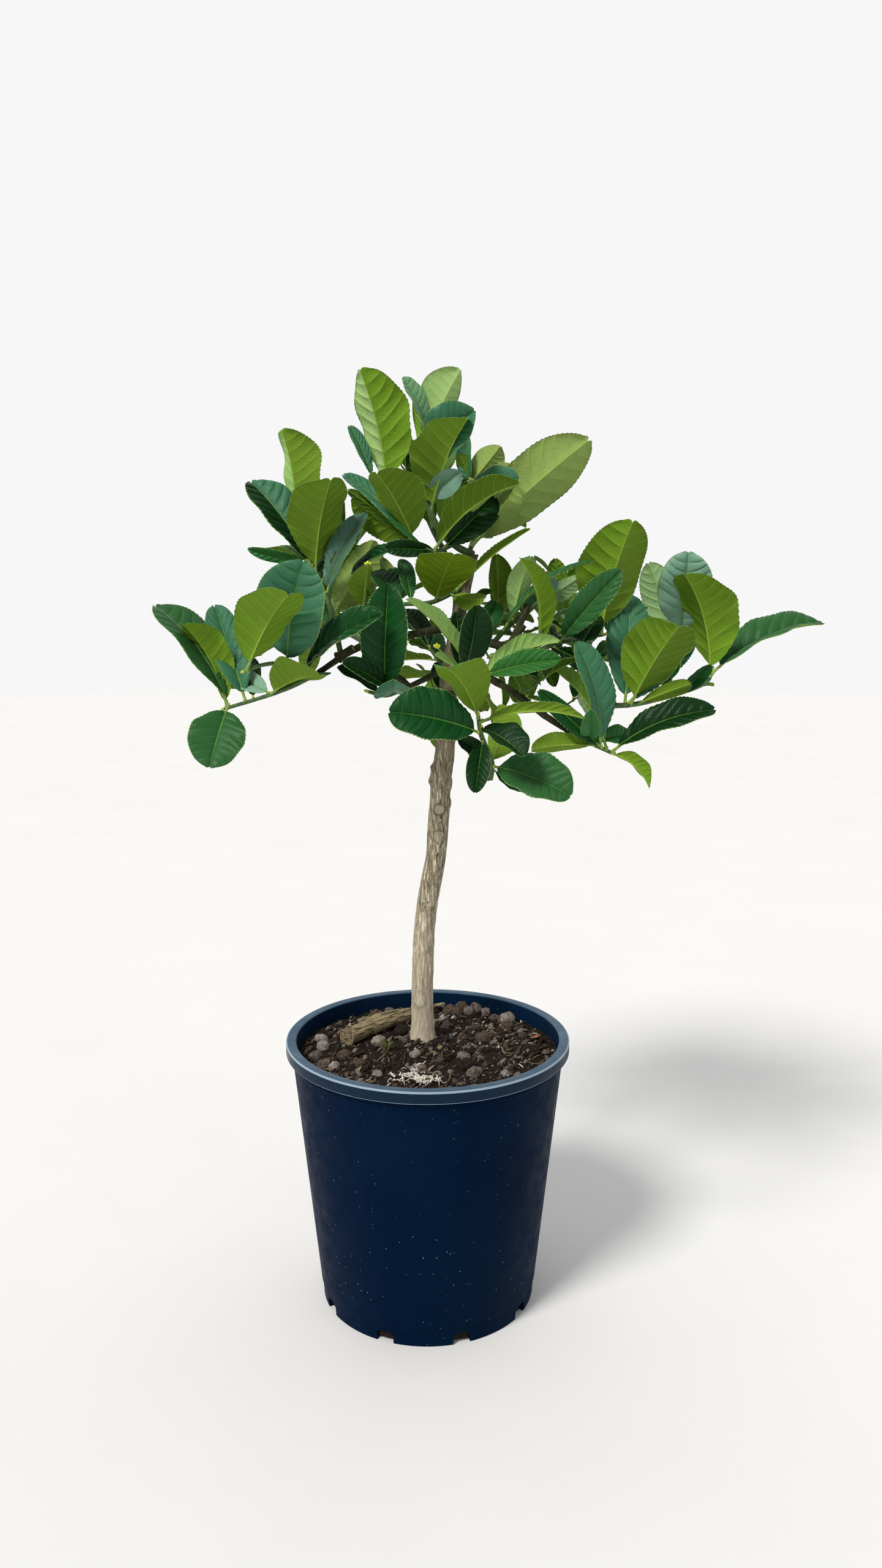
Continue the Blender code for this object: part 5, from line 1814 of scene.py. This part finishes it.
def add_straws(piece, rng):
    """Thin dry stems, lying about."""
    for _ in range(STRAWS):
        x, y = somewhere(rng, 14)
        turn = rng.uniform(0, math.pi)
        length = rng.uniform(*STRAW_LENGTHS)
        bend = rng.uniform(-STRAW_BEND, STRAW_BEND)
        way = Vector((math.cos(turn), math.sin(turn), 0))
        across = Vector((-way.y, way.x, 0))
        path = []
        for share in (-0.5, -0.2, 0.2, 0.5):
            spot = Vector((x, y, 0)) + way * share * length + across * bend * (1 - 4 * share * share)
            path.append(on_soil(spot.x, spot.y, 1.3))
        look = chosen_look(rng, STRAW_LOOKS)
        radii = [rng.uniform(*STRAW_RADII)] * len(path)
        piece.add(*tube_shape(path, radii, sides=5), look)


def add_fibres(piece, rng):
    """Tufts of white roots, tangled over the soil."""
    for middle_x, middle_y, wide, deep, count in TUFTS:
        for _ in range(count):
            x = middle_x + rng.uniform(-wide, wide)
            y = middle_y + rng.uniform(-deep, deep)
            turn = rng.uniform(0, 2 * math.pi)
            path = []
            for _ in range(FIBRE_POINTS):
                path.append(on_soil(x, y, FIBRE_LIFT[0] + FIBRE_LIFT[1] * rng.random()))
                turn += rng.uniform(-FIBRE_TURN, FIBRE_TURN)
                x += FIBRE_STEP[0] * math.cos(turn)
                y += FIBRE_STEP[1] * math.sin(turn)
            line = smooth_path(path, 2)
            radii = tapering(rng.uniform(*FIBRE_RADII), FIBRE_END, len(line))
            piece.add(*tube_shape(line, radii, sides=6), "fibre")


def add_stones(piece, rng):
    for x, y, long, wide, high, look in STONES:
        # One draw is passed over, which keeps every later draw as it is
        rng.random()
        tilt = nearly_up(rng, STONE_TILT)
        centre = on_soil(x, y, high * 0.35)
        add_ball(piece, centre, (long, wide, high), tilt, look, STONE_ROUGH, (18, 12))


def add_stick(piece):
    """Split wood, thinner towards its far end, with ridges that run along it."""
    for given, wide, thick in STICKS:
        path = smooth_path(given, 10)
        points = []
        for i, (centre, side, across) in enumerate(rings_of(path)):
            if abs(side.z) > abs(across.z):
                side, across = across, side
            taper = 1 - STICK_TAPER * (i / len(path))
            for c, s in circle(STICK_SIDES):
                out = side * c * wide + across * s * thick
                coarse = noise.noise(Vector((c * 1.6, s * 1.6, i * 0.1)))
                fine = noise.noise(Vector((c * 5, s * 5, i * 0.16)))
                points.append(centre + out * taper * (1 + 0.22 * coarse + 0.12 * fine))
        piece.add(points, tube_faces(len(path), STICK_SIDES), "stick")


def add_weed(piece, rng):
    """A seedling with pale green leaves."""
    foot = on_soil(*WEED)
    for k in range(WEED_STEMS):
        turn = WEED_TURN * k
        out = Vector((math.cos(turn), math.sin(turn), rng.uniform(*WEED_RISE))).normalized()
        tip = foot + out * rng.uniform(*WEED_LENGTHS)
        stem = [foot - UP * 2, foot.lerp(tip, 0.5), tip]
        piece.add(*tube_shape(stem, WEED_RADII, sides=5), "weed")
        for side in (-1, 1):
            lean = (out + Vector((-out.y, out.x, 0.3)) * side).normalized()
            add_ball(piece, tip + lean * 2.2, WEED_LEAF, lean, "weed")


def add_dry_leaf(piece):
    """A curled scrap of orange-brown leaf."""
    middle = on_soil(*DRY_LEAF, 3)
    steps = DRY_LEAF_STEPS
    half = steps // 2
    below = steps * steps
    points = []
    for i in range(steps):
        along = (i - half) / half
        for k in range(steps):
            across = (k - half) / half
            wide = 4 * math.sqrt(max(0.05, 1 - along * along * 0.9))
            points.append(middle + Vector((along * 5.5, across * wide, 2.5 * across * across + 1.5 * along)))
    points += [p - UP * 0.4 for p in points]
    faces = []
    for i in range(steps - 1):
        for k in range(steps - 1):
            here = i * steps + k
            beyond = here + steps
            faces.append((here, beyond, beyond + 1, here + 1))
            faces.append((below + here, below + here + 1, below + beyond + 1, below + beyond))
    piece.add(points, faces, "dry leaf")


def make_soil(looks):
    soil = Piece("potting_soil")
    soil.add(*soil_shape(), "soil")
    settle(soil.make(looks, SHARP_ON_SOIL), "soil", "soil")
    rng = random.Random(GROUND_SEED)
    litter = Piece("soil_litter")
    add_crumbs(litter, rng)
    add_chips(litter, rng)
    add_straws(litter, rng)
    add_fibres(litter, rng)
    add_stones(litter, rng)
    add_stick(litter)
    add_weed(litter, rng)
    add_dry_leaf(litter)
    settle(litter.make(looks, SHARP_ON_SOIL), "soil")


# Studio


def make_camera():
    camera = bpy.data.cameras.new("camera")
    camera.sensor_fit = "VERTICAL"
    camera.sensor_height = SENSOR
    camera.lens = SENSOR * FOCAL_PIXELS / PHOTO_HEIGHT
    camera.clip_start = CLIP_START
    camera.clip_end = CLIP_END
    holder = bpy.data.objects.new("camera", camera)
    holder.location = CAMERA_PLACE
    holder.rotation_euler = Euler((math.radians(CAMERA_TILT), 0, 0))
    bpy.context.scene.collection.objects.link(holder)
    bpy.context.scene.camera = holder


def make_light(name, kind, place, strength, warmth, **settings):
    """A light at this place that shines at the middle of the plant."""
    light = bpy.data.lights.new(name, kind)
    light.energy = strength
    light.color = warmth
    for key, value in settings.items():
        setattr(light, key, value)
    holder = bpy.data.objects.new(name, light)
    holder.location = place
    away = Vector(place) - Vector(LIT_POINT)
    holder.rotation_euler = away.to_track_quat("Z", "Y").to_euler()
    bpy.context.scene.collection.objects.link(holder)


def make_studio(looks):
    """A pale floor, a pale sky that is brightest behind the plant, and one soft light from above
    on the left."""
    floor = Piece("floor")
    ring = [(FLOOR_RADIUS * c, FLOOR_RADIUS * s, -FLOOR_DROP) for c, s in circle(FLOOR_STEPS)]
    floor.add(ring, [tuple(range(FLOOR_STEPS))], "floor")
    floor.make(looks)
    world = bpy.data.worlds.new("studio")
    world.use_nodes = True
    sky = world.node_tree.nodes["Background"]
    sky.inputs["Color"].default_value = (*SKY_COLOUR, 1)
    tree = world.node_tree
    towards = node(tree, "TexCoord", {}).outputs["Generated"]
    back = node(tree, "SeparateXYZ", {"Vector": towards}).outputs["Y"]
    strength = spread(tree, back, *SKY_TURNS_BETWEEN, SKY_IN_FRONT, SKY_BEHIND)
    tree.links.new(strength, sky.inputs["Strength"])
    bpy.context.scene.world = world
    bpy.context.scene.view_settings.view_transform = "Standard"
    make_light("key", "SUN", KEY_PLACE, KEY_STRENGTH, KEY_COLOUR, angle=math.radians(KEY_SIZE))
    make_light("fill", "AREA", FILL_PLACE, FILL_STRENGTH, FILL_COLOUR, size=FILL_SIZE)


def main():
    limbs = limb_lines()
    trunk_path = limbs["trunk"][0]
    marks = [(mark, mark_place(mark, trunk_path)) for mark in MARKS]
    looks = make_materials(marks)
    make_camera()
    make_studio(looks)
    make_pot(looks)
    make_soil(looks)
    make_bark(limbs, marks, looks)
    lines = shoot_lines(limbs)
    space = Space()
    for name, limb in limbs.items():
        space.add(name, tube_shape(*limb))
    for mass, shoots in lines.items():
        for shoot, path in shoots:
            radii = tapering(shoot.thick, shoot.thin, len(path))
            space.add(mass, tube_shape(path, radii, SHOOT_SIDES))
    leaves = grow_leaves(lines, space)
    twigs = side_twigs(lines, leaves, space)
    heart_twigs(limbs, leaves, space, twigs)
    grids = {
        True: blade_grid(RIB_SPACES, ROWS, COLUMNS),
        False: blade_grid(SMALL_RIB_SPACES, SMALL_ROWS, SMALL_COLUMNS),
    }
    for mass, shoots in lines.items():
        make_foliage(mass, shoots, leaves[mass], twigs[mass], grids, looks)


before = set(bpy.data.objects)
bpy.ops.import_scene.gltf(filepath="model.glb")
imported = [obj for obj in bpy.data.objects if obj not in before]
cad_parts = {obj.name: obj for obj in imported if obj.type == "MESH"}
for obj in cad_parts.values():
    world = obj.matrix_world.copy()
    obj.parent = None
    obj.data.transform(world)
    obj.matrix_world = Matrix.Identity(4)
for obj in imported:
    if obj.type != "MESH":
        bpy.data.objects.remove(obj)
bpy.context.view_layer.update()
main()
